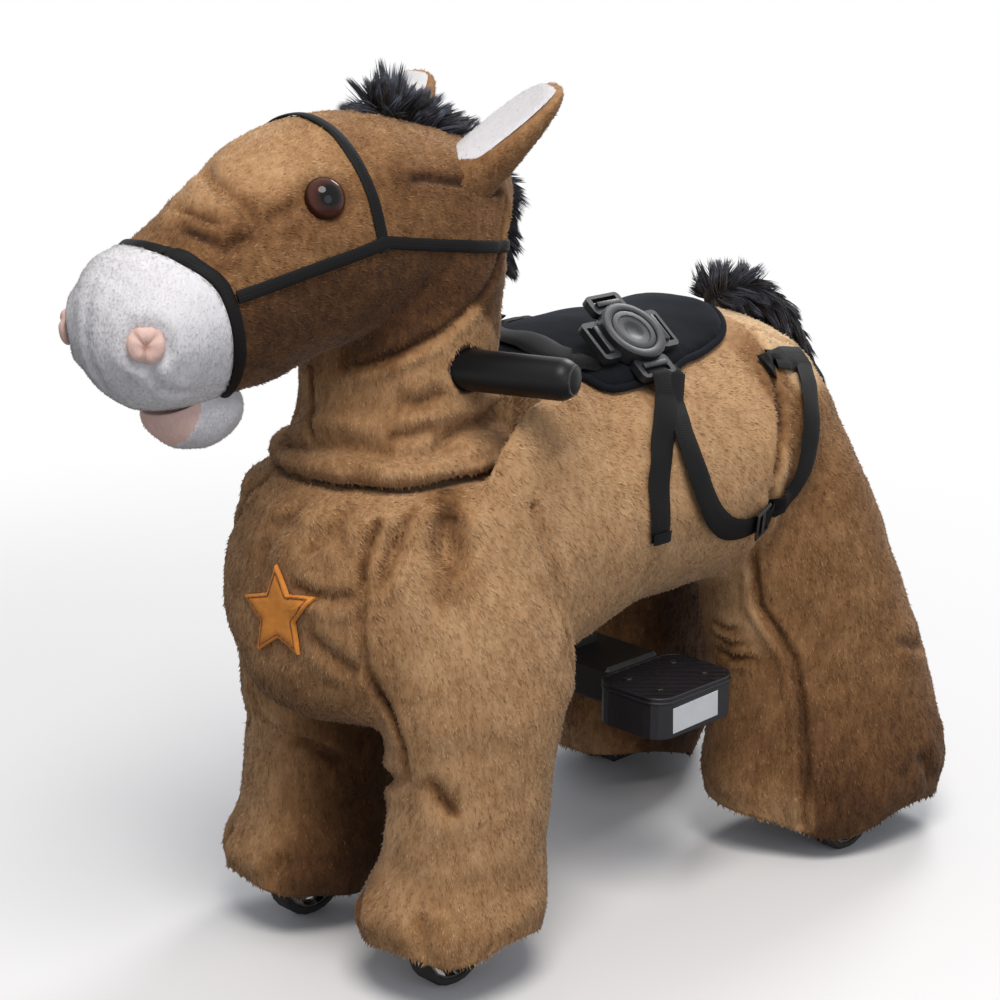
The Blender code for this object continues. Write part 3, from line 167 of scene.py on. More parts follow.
def loft(bm, rings, upright, yaw=0.0):
    """Skins a stack of ellipses: upright ones lie flat, the others stand across the length."""
    turn = Matrix.Rotation(yaw, 4, "Z") if upright else Matrix.Rotation(math.radians(90), 4, "X")
    loops = []
    for x, y, z, half_width, half_depth in rings:
        place = Matrix.Translation((x, y, z)) @ turn @ Matrix.Diagonal((half_width, half_depth, 1, 1))
        loops.append(bmesh.ops.create_circle(bm, cap_ends=False, segments=32, radius=1, matrix=place)["verts"])
    bridge(bm, loops)


def only(thing):
    """Makes one piece the selected and active one."""
    bpy.ops.object.select_all(action="DESELECT")
    thing.select_set(True)
    bpy.context.view_layer.objects.active = thing
    return thing


def mesh_piece(name, bm):
    """Turns a finished bmesh into an object whose faces look outward."""
    bmesh.ops.recalc_face_normals(bm, faces=bm.faces)
    data = bpy.data.meshes.new(name)
    bm.to_mesh(data)
    bm.free()
    thing = bpy.data.objects.new(name, data)
    bpy.context.scene.collection.objects.link(thing)
    return thing


def modify(thing, kind, **settings):
    """Adds a modifier and applies it at once."""
    only(thing)
    step = thing.modifiers.new(kind.lower(), kind)
    for key, value in settings.items():
        setattr(step, key, value)
    bpy.ops.object.modifier_apply(modifier=step.name)
    return thing


def melt(thing, voxel, iterations):
    """Fuses overlapping solids into one even, rounded skin."""
    modify(thing, "REMESH", mode="VOXEL", voxel_size=voxel)
    modify(thing, "SMOOTH", iterations=iterations, factor=0.5)
    return thing


def coordinates(thing):
    """All points of a mesh, one row each."""
    flat = np.empty(len(thing.data.vertices) * 3)
    thing.data.vertices.foreach_get("co", flat)
    return flat.reshape(-1, 3)


def outward(thing):
    """The normal of every point of a mesh, one row each."""
    flat = np.empty(len(thing.data.vertices) * 3)
    thing.data.vertices.foreach_get("normal", flat)
    return flat.reshape(-1, 3)


def put_back(thing, points):
    """Writes moved points back into a mesh."""
    thing.data.vertices.foreach_set("co", points.ravel())
    thing.data.update()


def step_up(value, low, high):
    """0 below low and 1 above high, with a smooth slope between; low may be the larger."""
    share = np.clip((value - low) / (high - low), 0, 1)
    return share * share * (3 - 2 * share)


def from_route(points, route):
    """Each point's distance from a run of straight stretches, and its share of the way along it."""
    route = np.array(route, float)
    best = np.full(len(points), 9.0)
    along = np.zeros(len(points))
    count = len(route) - 1
    for i, (start, end) in enumerate(zip(route, route[1:])):
        run = end - start
        share = np.clip(((points - start) @ run) / (run @ run), 0, 1)
        away = np.linalg.norm(points - start - share[:, None] * run, axis=1)
        near = away < best
        best[near] = away[near]
        along[near] = (i + share[near]) / count
    return best, along


creases = []


def laid(route, steps=4):
    """Fills in a route between its points and drops it onto the skin."""
    spots = [Vector(a).lerp(Vector(b), k / steps) for a, b in zip(route, route[1:]) for k in range(steps)]
    return [tuple(skin_tree.find_nearest(spot)[0]) for spot in spots + [Vector(route[-1])]]


def press(points, route, width, depth, puff=0.25, mirror=True, ends=0.15, dark=1.0):
    """How far a seam or fold along a route pushes each point in (negative) or out."""
    route = laid(route)
    creases.append((route, width, mirror, ends, dark))
    total = np.zeros(len(points))
    for flip in ((1, -1) if mirror else (1,)):
        away, along = from_route(points, np.array(route, float) * (flip, 1, 1))
        taper = step_up(along, -0.001, ends) * (1 - step_up(along, 1 - ends, 1.001))
        total -= depth * taper * np.exp(-(away / width) ** 2)
        total += depth * puff * taper * np.exp(-((away - 2.2 * width) / (1.3 * width)) ** 2)
    return total


def creased(points, routes):
    """How deep in a seam or fold each point lies, from 0 to 1."""
    most = np.zeros(len(points))
    for route, width, mirror, ends, dark in routes:
        low, high = np.min(route, axis=0) - 0.02, np.max(route, axis=0) + 0.02
        for flip in ((1, -1) if mirror else (1,)):
            turned = points * (flip, 1, 1)
            close = np.flatnonzero(((turned > low) & (turned < high)).all(1))
            if len(close):
                away, along = from_route(turned[close], route)
                taper = step_up(along, -0.001, ends) * (1 - step_up(along, 1 - ends, 1.001))
                most[close] = np.maximum(most[close], dark * taper * np.exp(-(away / (0.0016 + 0.30 * width)) ** 2))
    return most


def lumps(points, size, seed=0):
    """Smooth random unevenness of about one size, from -1 to 1."""
    shift = Vector((seed * 3.1, seed * 1.7, seed * 2.3))
    return np.array([noise.noise(Vector(p) / size + shift) for p in points])


bm = bmesh.new()
middle = (SEAT_Z + BELLY_Z) / 2
deep = (SEAT_Z - BELLY_Z) / 2
loft(bm, [(0, -0.234, 0.290, 0.046, 0.052), (0, -0.222, 0.288, 0.075, 0.077), (0, -0.186, 0.288, 0.103, 0.093),
          (0, -0.120, 0.298, 0.126, 0.114), (0, -0.040, 0.318, 0.132, 0.118), (0, 0.050, middle, 0.135, deep),
          (0, 0.130, middle, 0.135, deep), (0, 0.200, middle + 0.003, 0.135, deep + 0.004),
          (0, 0.254, middle, 0.122, deep - 0.006), (0, 0.298, middle - 0.010, 0.088, deep - 0.030),
          (0, 0.322, middle - 0.020, 0.050, 0.050)], upright=False)
loft(bm, [(0, -0.130, 0.300, 0.106, 0.086), (0, -0.124, 0.345, 0.098, 0.082), (0, -0.120, 0.390, 0.090, 0.078)],
     upright=True)
for side in (1, -1):
    x, y = side * FRONT_AXLE[0], FRONT_AXLE[1]
    loft(bm, [(x, y + 0.006, -0.010, 0.068, 0.077), (x, y + 0.006, 0.058, 0.068, 0.076),
              (x, y + 0.016, 0.098, 0.059, 0.063), (x, y + 0.022, 0.160, 0.057, 0.062),
              (x + side * 0.002, y + 0.030, 0.220, 0.060, 0.079), (x - side * 0.006, y + 0.032, 0.290, 0.060, 0.080),
              (x - side * 0.018, y + 0.038, 0.345, 0.050, 0.068)],
         upright=True)
    x, y = side * (REAR_AXLE[0] - 0.030), REAR_AXLE[1]
    loft(bm, [(x, y + 0.014, -0.010, 0.070, 0.108), (x, y + 0.013, 0.060, 0.073, 0.112),
              (x - side * 0.003, y + 0.012, 0.110, 0.066, 0.104), (x - side * 0.008, y + 0.007, 0.160, 0.065, 0.098),
              (x - side * 0.019, y - 0.010, 0.240, 0.066, 0.086), (x - side * 0.036, y - 0.028, 0.330, 0.063, 0.074),
              (x - side * 0.052, y - 0.036, 0.392, 0.048, 0.058)],
         upright=True, yaw=-side * math.radians(26))
body = mesh_piece("body_cover_plush", bm)
melt(body, 0.0040, 22)

# the open neck, where the head's cover turns inside a dished hollow
points = coordinates(body)
from_axis = np.hypot(points[:, 0], points[:, 1] - HEAD_AXIS_Y)
roof = 0.3800 - 0.014 * step_up(from_axis, 0.070, 0.0)
inside = (from_axis < 0.1005) & (points[:, 2] > roof)
points[inside, 2] = roof[inside]
# the withers rise on both sides of the neck, a little more on the left
round_neck = np.abs(np.arctan2(points[:, 0], HEAD_AXIS_Y - points[:, 1]))
swell = np.exp(-((from_axis - 0.108) / 0.026) ** 2) * step_up(round_neck, 1.10, 1.80) * step_up(round_neck, 2.9, 2.3)
swell *= step_up(points[:, 2], 0.300, 0.365) * np.where(points[:, 0] > 0, 0.048, 0.032) * (from_axis > 0.1005)
points[:, 2] = np.maximum(points[:, 2], np.minimum(points[:, 2] + swell, 0.430))
shoulder = 0.3785 - 0.9 * np.maximum(from_axis - 0.092, 0)
low = (from_axis < 0.112) & (points[:, 2] > 0.345) & (points[:, 2] < shoulder)
points[low, 2] = shoulder[low]
put_back(body, points)
modify(body, "SMOOTH", iterations=2, factor=0.5)

# seams, gathers and folds of the left half, most of them mirrored
points, facing = coordinates(body), outward(body)
skin_tree = BVHTree.FromObject(body, bpy.context.evaluated_depsgraph_get())
push = np.zeros(len(points))
# each row: the route, its width and depth, how far its edges puff out, mirrored or not, and how soft its ends are
for route, width, depth, puff, mirror, ends in (
        ([(0.070, -0.196, 0.368), (0.073, -0.212, 0.343), (0.076, -0.220, 0.300), (0.076, -0.217, 0.265),
          (0.079, -0.200, 0.228), (0.086, -0.194, 0.200), (0.084, -0.190, 0.170)], 0.0034, 0.0042, 0.25, True, 0.03),
        ([(0.092, -0.150, 0.380), (0.098, -0.158, 0.350), (0.110, -0.165, 0.322)], 0.0100, 0.0130, 0.2, True, 0.35),
        ([(0.078, -0.168, 0.378), (0.084, -0.188, 0.356), (0.084, -0.202, 0.336), (0.083, -0.210, 0.316)],
         0.0052, 0.0060, 0.4, True, 0.3),
        ([(0.098, -0.096, 0.382), (0.113, -0.093, 0.354), (0.124, -0.087, 0.327), (0.129, -0.077, 0.300),
          (0.130, -0.070, 0.272), (0.127, -0.060, 0.240), (0.118, -0.055, 0.215)], 0.0034, 0.0048, 0.25, True, 0.05),
        ([(0.020, -0.236, 0.316), (0.040, -0.232, 0.312), (0.058, -0.226, 0.311), (0.072, -0.219, 0.318)],
         0.0045, 0.0040, 0.5, False, 0.15),
        ([(0.030, -0.234, 0.290), (0.048, -0.229, 0.274), (0.062, -0.222, 0.264), (0.076, -0.215, 0.258)],
         0.0060, 0.0045, 0.4, False, 0.35),
        ([(0.020, -0.205, 0.372), (0.000, -0.226, 0.352), (-0.012, -0.232, 0.332), (-0.014, -0.234, 0.315)],
         0.0070, 0.0055, 0.5, False, 0.35),
        ([(0.050, -0.196, 0.374), (0.040, -0.216, 0.352), (0.026, -0.228, 0.335)], 0.0060, 0.0040, 0.5, False, 0.35),
        ([(-0.034, -0.190, 0.374), (-0.052, -0.208, 0.350), (-0.062, -0.214, 0.325)],
         0.0070, 0.0060, 0.5, False, 0.35),
        ([(-0.070, -0.160, 0.376), (-0.088, -0.180, 0.345), (-0.092, -0.190, 0.318)],
         0.0070, 0.0060, 0.5, False, 0.35),
        ([(0.084, -0.190, 0.172), (0.060, -0.188, 0.164), (0.035, -0.172, 0.158), (0.018, -0.150, 0.140)],
         0.0050, 0.0050, 0.5, True, 0.2),
        ([(0.118, 0.150, 0.335), (0.112, 0.160, 0.300), (0.109, 0.163, 0.262), (0.108, 0.173, 0.225),
          (0.120, 0.182, 0.204), (0.130, 0.191, 0.180), (0.136, 0.198, 0.140), (0.141, 0.198, 0.095),
          (0.142, 0.194, 0.040)], 0.0036, 0.0056, 0.5, True, 0.03),
        ([(0.062, 0.168, 0.206), (0.082, 0.166, 0.199), (0.100, 0.170, 0.201)], 0.0034, 0.0034, 0.6, True, 0.4),
        ([(0.062, 0.168, 0.194), (0.084, 0.166, 0.188), (0.104, 0.172, 0.190)], 0.0034, 0.0036, 0.6, True, 0.4),
        ([(0.066, 0.168, 0.183), (0.088, 0.168, 0.177), (0.112, 0.178, 0.178)], 0.0034, 0.0034, 0.6, True, 0.4),
        ([(0.150, 0.270, 0.185), (0.162, 0.300, 0.172), (0.160, 0.325, 0.165)], 0.0060, 0.0035, 0.6, True, 0.4),
        ([(0.176, 0.290, 0.085), (0.180, 0.305, 0.070), (0.182, 0.318, 0.050)], 0.0070, 0.0060, 0.3, True, 0.3),
        ([(0.168, 0.345, 0.110), (0.172, 0.350, 0.085), (0.176, 0.352, 0.055)], 0.0060, 0.0050, 0.4, True, 0.3),
        ([(0.030, -0.205, 0.085), (0.040, -0.210, 0.070), (0.052, -0.214, 0.045)], 0.0060, 0.0055, 0.5, True, 0.3),
        ([(0.110, -0.205, 0.090), (0.116, -0.205, 0.070), (0.118, -0.206, 0.042)], 0.0070, 0.0040, 0.5, True, 0.3),
        ([(0.128, -0.170, 0.150), (0.120, -0.190, 0.162), (0.105, -0.198, 0.180)], 0.0080, 0.0035, 0.5, True, 0.4),
        ([(0.000, 0.205, 0.454), (0.000, 0.255, 0.448), (0.000, 0.300, 0.420)], 0.0040, 0.0020, 0.4, False, 0.15),
        ([(0.060, 0.205, 0.440), (0.072, 0.245, 0.425), (0.070, 0.285, 0.395), (0.062, 0.315, 0.350)],
         0.0032, 0.0035, 0.4, True, 0.06),
        ([(0.118, 0.152, 0.335), (0.112, 0.175, 0.385), (0.085, 0.200, 0.425), (0.050, 0.208, 0.442)],
         0.0036, 0.0040, 0.4, True, 0.06)):
    push += press(points, route, width, depth, puff, mirror, ends)
push += 0.0035 * lumps(points, 0.070, 1) + 0.0015 * lumps(points, 0.028, 2)
points += facing * push[:, None]

# cut the leg openings and let the hems dip and lift as cloth does
put_back(body, points)
HEM_Z = 0.043


def cut(thing, *planes):
    """Drops what lies behind each plane, given as a place and a normal."""
    bm = bmesh.new()
    bm.from_mesh(thing.data)
    for place, normal in planes:
        bmesh.ops.bisect_plane(bm, geom=bm.verts[:] + bm.edges[:] + bm.faces[:], plane_co=place, plane_no=normal,
                               clear_inner=True)
    bm.to_mesh(thing.data)
    bm.free()


cut(body, ((0, 0, HEM_Z), (0, 0, 1)))
points = coordinates(body)
near_hem = 1 - step_up(points[:, 2], HEM_Z, HEM_Z + 0.055)
rear = points[:, 1] > 0.05
side = np.sign(points[:, 0])
leg_x = np.where(rear, side * (REAR_AXLE[0] - 0.030), side * FRONT_AXLE[0])
leg_y = np.where(rear, REAR_AXLE[1] + 0.017, FRONT_AXLE[1] + 0.006)
angle = np.arctan2(points[:, 1] - leg_y, (points[:, 0] - leg_x) * side)
lift = 0.0035 * np.sin(3 * angle + 0.6) + 0.0025 * np.sin(5 * angle + 2.0)
lift += np.where(rear, 0.020 * np.exp(-((angle + 2.2) / 0.75) ** 2) + 0.012 * np.exp(-((angle - 0.45) / 0.55) ** 2)
                 - 0.018, 0.004 * np.cos(angle))
points[:, 2] += near_hem * (lift + 0.001)
tuck = near_hem ** 4 * 0.006
away = np.stack([points[:, 0] - leg_x, points[:, 1] - leg_y], axis=1)
away /= np.maximum(np.linalg.norm(away, axis=1), 0.001)[:, None]
points[:, :2] -= away * tuck[:, None]
put_back(body, points)
body.data.shade_smooth()


def hollow(thing, wall):
    """Gives an open skin a wall on its inner side."""
    return modify(thing, "SOLIDIFY", thickness=wall, offset=-1, use_even_offset=False)


def set_values(thing, name, values):
    """Keeps one number with every point, for the material to read."""
    old = thing.data.attributes.get(name)
    if old:
        thing.data.attributes.remove(old)
    made = thing.data.attributes.new(name, "FLOAT", "POINT")
    made.data.foreach_set("value", np.asarray(values, np.float32))


def store_dye_and_shade(thing, shade, tone_and_root_shade):
    """Keeps with every point of a skin the sprayed dye together with painted shade, and the nap's tone, which below 0
    paints the skin darker as the shade among the fibre roots.
    """
    set_values(thing, "shade", shade)
    set_values(thing, "tone_and_root_shade", np.full(len(thing.data.vertices), tone_and_root_shade))


def body_shade(points):
    """How pale the pile is painted at each point: 0.5 is the plain tan; less is the sprayed brown, and also painted
    shade in the folds and seams, on the chest, under the belly and low between the legs.
    """
    x, y, z = np.abs(points[:, 0]), points[:, 1], points[:, 2]
    shade = np.full(len(points), 0.57)
    # painted shade along the deep fold where the neck meets the shoulder
    away, along = from_route(np.stack([x, y, z], axis=1),
                             [(0.084, -0.145, 0.385), (0.096, -0.156, 0.352), (0.110, -0.165, 0.318)])
    shade -= 0.30 * np.exp(-(away / 0.014) ** 2) * (1 - 0.5 * along)
    shade -= 0.08 * np.exp(-((x - 0.075) / 0.035) ** 2 - ((y + 0.030) / 0.045) ** 2) * step_up(z, 0.36, 0.42)
    behind = step_up(y - (0.166 + 0.10 * np.clip(0.24 - z, 0, 0.2) * 1.6), -0.002, 0.006)
    side_panel = behind * step_up(x, 0.045, 0.095)
    shade -= 0.18 * side_panel
    shade -= 0.12 * side_panel * step_up(z, 0.20, 0.06)
    shade -= 0.10 * behind * (1 - step_up(x, 0.045, 0.095)) * step_up(z, 0.34, 0.20)
    top = step_up(y, 0.199, 0.207) * step_up(z, 0.388 - 0.10 * (y - 0.2), 0.408 - 0.10 * (y - 0.2))
    shade = shade * (1 - top) + (0.80 - 0.10 * step_up(y, 0.25, 0.31)) * top
    shade -= 0.05 * step_up(z, 0.13, 0.05)
    # painted shade on the front of the chest, under the head
    shade -= 0.10 * (1 - step_up(y, -0.215, -0.15)) * step_up(z, 0.16, 0.26) * step_up(0.095 - x, -0.01, 0.02)
    # painted shade under the belly and on the insides of the legs
    shade -= 0.32 * step_up(0.07 - x, 0.0, 0.05) * step_up(z, 0.26, 0.18)
    # painted shade low on the front of the hind legs, under the belly
    shade -= 0.20 * (1 - behind) * step_up(y, 0.090, 0.120) * step_up(z, 0.20, 0.17) * step_up(z, 0.05, 0.09)
    shade -= 0.035 * step_up(y, -0.02, -0.06) * step_up(z, 0.28, 0.22)
    # painted shade in the seams and folds
    return shade - 0.46 * creased(points, body_creases)


body_creases = list(creases)
# the skin between the tufts is painted darker, as the shade among the fibre roots
store_dye_and_shade(body, body_shade(coordinates(body)), -0.35)


# Short-pile plush: knitted polyester backing with upright fibres a few millimetres long, brushed one way.
# The ramp runs from the painted shade at the roots and in the folds, and the sprayed brown, to the pale tips; sheen
# gives the nap its bloom.
def plush(name, stops, sheen, cloud_mm=26, streak_mm=5):
    """Pile cloth whose colour follows the stored dye and painted shade and the nap's tone with its painted root shade,
    in soft clouds and fine streaks.
    """
    material = new_material(name)
    where = add_node(material, "TexCoord")
    clouds = add_node(material, "TexNoise", {"Scale": 1000 / cloud_mm, "Detail": 3.0, "Roughness": 0.6},
                      {"Vector": where.outputs["Object"]})
    squeezed = add_node(material, "Mapping", {"Scale": (1.0, 0.8, 0.35)}, {"Vector": where.outputs["Object"]})
    streaks = add_node(material, "TexNoise", {"Scale": 1000 / streak_mm, "Detail": 2.0, "Roughness": 0.7},
                       {"Vector": squeezed.outputs["Vector"]})
    shade = add_node(material, "Attribute", attribute_name="shade")
    tone_and_root_shade = add_node(material, "Attribute", attribute_name="tone_and_root_shade")
    first = add_node(material, "MapRange", {"From Min": 0.3, "From Max": 0.7, "To Min": -0.045, "To Max": 0.045},
                     {"Value": clouds.outputs["Fac"]}, clamp=False)
    second = add_node(material, "MapRange", {"From Min": 0.3, "From Max": 0.7, "To Min": -0.05, "To Max": 0.05},
                      {"Value": streaks.outputs["Fac"]}, clamp=False)
    total = add_node(material, "Math", None, {0: first.outputs[0], 1: second.outputs[0]}, operation="ADD")
    total = add_node(material, "Math", None, {0: total.outputs[0], 1: shade.outputs["Fac"]}, operation="ADD")
    total = add_node(material, "Math", {1: 0.16}, {0: tone_and_root_shade.outputs["Fac"], 2: total.outputs[0]},
                     operation="MULTIPLY_ADD")
    ramp = add_node(material, "ValToRGB", None, {"Fac": total.outputs[0]})
    ramp.color_ramp.interpolation = "B_SPLINE"
    band = ramp.color_ramp.elements
    while len(band) < len(stops):
        band.new(0.5)
    for point, (place, colour) in zip(band, stops):
        point.position = place
        point.color = linear(colour)
    bump = add_node(material, "Bump", {"Strength": 0.35, "Distance": 0.0012}, {"Height": streaks.outputs["Fac"]})
    shader = add_node(material, "BsdfPrincipled", {"Roughness": 0.85, "Specular IOR Level": 0.25,
                                                   "Sheen Weight": sheen, "Sheen Roughness": 0.45,
                                                   "Sheen Tint": linear("#FFE9D2")},
                      {"Base Color": ramp.outputs["Color"], "Normal": bump.outputs["Normal"]})
    add_node(material, "OutputMaterial", None, {"Surface": shader.outputs[0]})
    return material


tan_plush = plush("tan_short_pile_plush", [(0.0, "#241207"), (0.18, "#56371F"), (0.36, "#8B633D"), (0.52, "#B78F66"),
                                           (0.72, "#DBB68B"), (0.92, "#F3D6AE")], 0.18)
body.data.materials.append(tan_plush)


def unit(vectors):
    """Each row scaled to length 1."""
    return vectors / np.maximum(np.linalg.norm(vectors, axis=1), 1e-9)[:, None]


def mesh_from(name, points, faces, facing=None):
    """faces is an array of triangles; facing, where given, is the shading normal of each point."""
    data = bpy.data.meshes.new(name)
    data.vertices.add(len(points))
    data.vertices.foreach_set("co", points.ravel())
    data.loops.add(faces.size)
    data.loops.foreach_set("vertex_index", faces.ravel())
    data.polygons.add(len(faces))
    data.polygons.foreach_set("loop_start", np.arange(0, faces.size, 3))
    data.update(calc_edges=True)
    data.shade_smooth()
    if facing is not None:
        data.normals_split_custom_set_from_vertices(facing.tolist())
    thing = bpy.data.objects.new(name, data)
    bpy.context.scene.collection.objects.link(thing)
    return thing


def rooted(skin, count, seed, weigh):
    """Seeded random places on a skin: where, which way is out, the stored dye and painted shade there, and the
    generator.
    """
    points, facing = coordinates(skin), outward(skin)
    skin.data.calc_loop_triangles()
    corners = np.empty(len(skin.data.loop_triangles) * 3, int)
    skin.data.loop_triangles.foreach_get("vertices", corners)
    corners = corners.reshape(-1, 3)
    a, b, c = (points[corners[:, i]] for i in range(3))
    area = np.linalg.norm(np.cross(b - a, c - a), axis=1) * weigh((a + b + c) / 3, unit(facing[corners].sum(1)))
    luck = np.random.default_rng(seed)
    pick = luck.choice(len(corners), count, p=area / area.sum())
    share = luck.random((count, 3))
    share = -np.log(share)
    share /= share.sum(1)[:, None]
    roots = (points[corners[pick]] * share[:, :, None]).sum(1)
    out = unit((facing[corners[pick]] * share[:, :, None]).sum(1))
    shades = np.empty(len(points), np.float32)
    skin.data.attributes["shade"].data.foreach_get("value", shades)
    return roots, out, (shades[corners[pick]] * share).sum(1), luck


def pile(name, skin, count, length, width, lean, comb, seed, weigh, material, dye_and_shade=None, routes=()):
    """Short fibres as closed three-sided tufts, combed along a direction and lit like the cloth below them."""
    roots, out, shades, luck = rooted(skin, count, seed, weigh)
    if dye_and_shade:
        shades = dye_and_shade(roots)
    flow = comb(roots)
    flow = unit(flow - out * (flow * out).sum(1)[:, None])
    away = unit(out * (1 - lean) + flow * lean + luck.normal(0, 0.15, (count, 3)))
    across = unit(np.cross(away, luck.normal(0, 1, (count, 3))))
    beside = np.cross(away, across)
    deep = creased(roots, routes)[:, None]
    long = length * luck.uniform(0.7, 1.3, count)[:, None] * (1 - 0.8 * deep)
    thick = width * luck.uniform(0.7, 1.3, count)[:, None]
    sunk = roots - out * 0.0006
    rows = [sunk + thick * (math.cos(turn) * across + math.sin(turn) * beside)
            for turn in (0, 2 * math.pi / 3, 4 * math.pi / 3)]
    rows.append(roots + away * long)
    points = np.stack(rows, axis=1).reshape(-1, 3)
    first = np.arange(count)[:, None, None] * 4
    faces = (first + np.array([[0, 1, 3], [1, 2, 3], [2, 0, 3], [0, 2, 1]])).reshape(-1, 3)
    lit = unit(np.repeat(out, 4, axis=0) + 0.25 * unit(points - np.repeat(roots + away * long * 0.3, 4, axis=0)))
    thing = mesh_from(name, points, faces, lit)
    # each tuft's own random tone, darker at the root as painted shade and paler at the tip
    own = luck.normal(0, 0.36, count)
    set_values(thing, "shade", np.repeat(shades, 4))
    set_values(thing, "tone_and_root_shade", (own[:, None] + np.array([-0.9, -0.9, -0.9, 0.6])).ravel())
    thing.data.materials.append(material)
    return thing


def body_comb(points):
    """Down the flanks, and more and more to the back on top."""
    back = 0.15 + 1.0 * step_up(points[:, 2], 0.20, 0.42)
    return np.stack([np.zeros(len(points)), back, np.full(len(points), -1.0)], axis=1)


def seen_side(where, facing, sides, ends):
    """Weighs the outside of one quarter of the body, and its hidden insides far less."""
    inner = (facing[:, 0] * np.sign(where[:, 0]) < -0.2) & (where[:, 2] < 0.24)
    under = (where[:, 2] > 0.370) & (np.hypot(where[:, 0], where[:, 1] - HEAD_AXIS_Y) < 0.080)
    saddle = (where[:, 2] > 0.40) & (where[:, 1] > 0.0) & (where[:, 1] < 0.19) & (np.abs(where[:, 0]) < 0.075)
    weight = np.where(inner, 0.35, 1.0) * np.where(under | saddle, 0.02, 1.0)
    return weight * (where[:, 0] * sides > 0) * ((where[:, 1] - 0.045) * ends > 0)


body_pieces = [body]
for label, sides, ends, seed in (("left_shoulder", 1, -1, 11), ("right_shoulder", -1, -1, 12),
                                 ("left_rump", 1, 1, 13), ("right_rump", -1, 1, 14)):
    body_pieces.append(pile("body_pile_" + label, body, 46000, 0.0034, 0.00078, 0.84, body_comb, seed,
                            lambda where, facing: seen_side(where, facing, sides, ends), tan_plush,
                            dye_and_shade=body_shade, routes=body_creases))
modify(body, "DECIMATE", ratio=0.55)
hollow(body, 0.004)
for piece in body_pieces:
    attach(piece, "root")
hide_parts("body_cover")

# ---- saddle pad ----------------------------------------------------------------------------------
# A flat foam pad in black velour, cut to a rounded outline and edged with a sewn piping cord.
# It lies on the plush back, under the folded shoulder straps; gentle cloth pressure crowns it.
body_tree = BVHTree.FromObject(body, bpy.context.evaluated_depsgraph_get())


def back_height(x, y):
    """Where the plush back lies under a point, and which way it faces there."""
    hit = body_tree.ray_cast(Vector((x, y, 0.70)), Vector((0, 0, -1)))
    return hit[0], hit[1]


def even_points(route, count, closed=True):
    """A smooth run of evenly spaced points along a rough outline."""
    route = np.array(route, float)
    size = len(route)
    fine = []
    steps = 24
    spans = size if closed else size - 1
    for i in range(spans):
        ids = [(i - 1) % size, i, (i + 1) % size, (i + 2) % size] if closed else \
            [max(i - 1, 0), i, i + 1, min(i + 2, size - 1)]
        p0, p1, p2, p3 = route[ids]
        for step in range(steps):
            t = step / steps
            fine.append(0.5 * (2 * p1 + (p2 - p0) * t + (2 * p0 - 5 * p1 + 4 * p2 - p3) * t ** 2
                               + (3 * p1 - p0 - 3 * p2 + p3) * t ** 3))
    fine.append(fine[0] if closed else route[-1])
    fine = np.array(fine)
    length = np.concatenate([[0], np.cumsum(np.linalg.norm(np.diff(fine, axis=0), axis=1))])
    wanted = np.linspace(0, length[-1], count + 1)[:-1] if closed else np.linspace(0, length[-1], count)
    return np.stack([np.interp(wanted, length, fine[:, k]) for k in range(fine.shape[1])], axis=1)


half_outline = [(0.000, 0.196), (0.028, 0.195), (0.046, 0.189), (0.062, 0.174), (0.071, 0.150), (0.078, 0.112),
                (0.085, 0.070), (0.085, 0.032), (0.074, 0.008), (0.046, -0.004)]
outline = half_outline + [(-x, y) for x, y in reversed(half_outline[1:])]
rim_points = even_points(outline, 120)
saddle_centre = np.array([0.0, 0.095])
SADDLE_T = 0.0085
bm = bmesh.new()
rings = []
for share, rise in ((1.0, 0.0), (0.992, 0.35), (0.972, 0.75), (0.94, 1.0), (0.86, 1.12), (0.70, 1.2), (0.50, 1.2),
                    (0.30, 1.2), (0.12, 1.2)):
    ring = []
    for px, py in saddle_centre + (rim_points - saddle_centre) * share:
        at, facing_up = back_height(px, py)
        ring.append(bm.verts.new(at + facing_up * (0.0009 + rise * SADDLE_T)))
    rings.append(ring)
low_rings = []
for share in (0.96, 0.80, 0.55, 0.25):
    ring = []
    for px, py in saddle_centre + (rim_points - saddle_centre) * share:
        at, facing_up = back_height(px, py)
        ring.append(bm.verts.new(at + facing_up * 0.0006))
    low_rings.append(ring)
bridge(bm, list(reversed(low_rings)) + rings)
saddle = mesh_piece("saddle_pad_velour", bm)
modify(saddle, "REMESH", mode="VOXEL", voxel_size=0.004)
start = coordinates(saddle).copy()
only(saddle)
cloth = saddle.modifiers.new("cloth", "CLOTH")
cloth.settings.use_pressure = True
cloth.settings.uniform_pressure_force = 4.0
cloth.settings.effector_weights.gravity = 0.0
cloth.settings.quality = 5
cloth.point_cache.frame_start = 1
cloth.point_cache.frame_end = 20
for frame_number in range(1, 21):
    bpy.context.scene.frame_set(frame_number)
bpy.ops.object.modifier_apply(modifier=cloth.name)
bpy.context.scene.frame_set(1)
moved = coordinates(saddle) - start
reach_moved = np.linalg.norm(moved, axis=1)
moved *= np.minimum(1.0, 0.0022 / np.maximum(reach_moved, 1e-9))[:, None]
moved[outward(saddle)[:, 2] < 0.1] = 0
put_back(saddle, start + moved)
modify(saddle, "SMOOTH", iterations=3, factor=0.5)
saddle.data.shade_smooth()

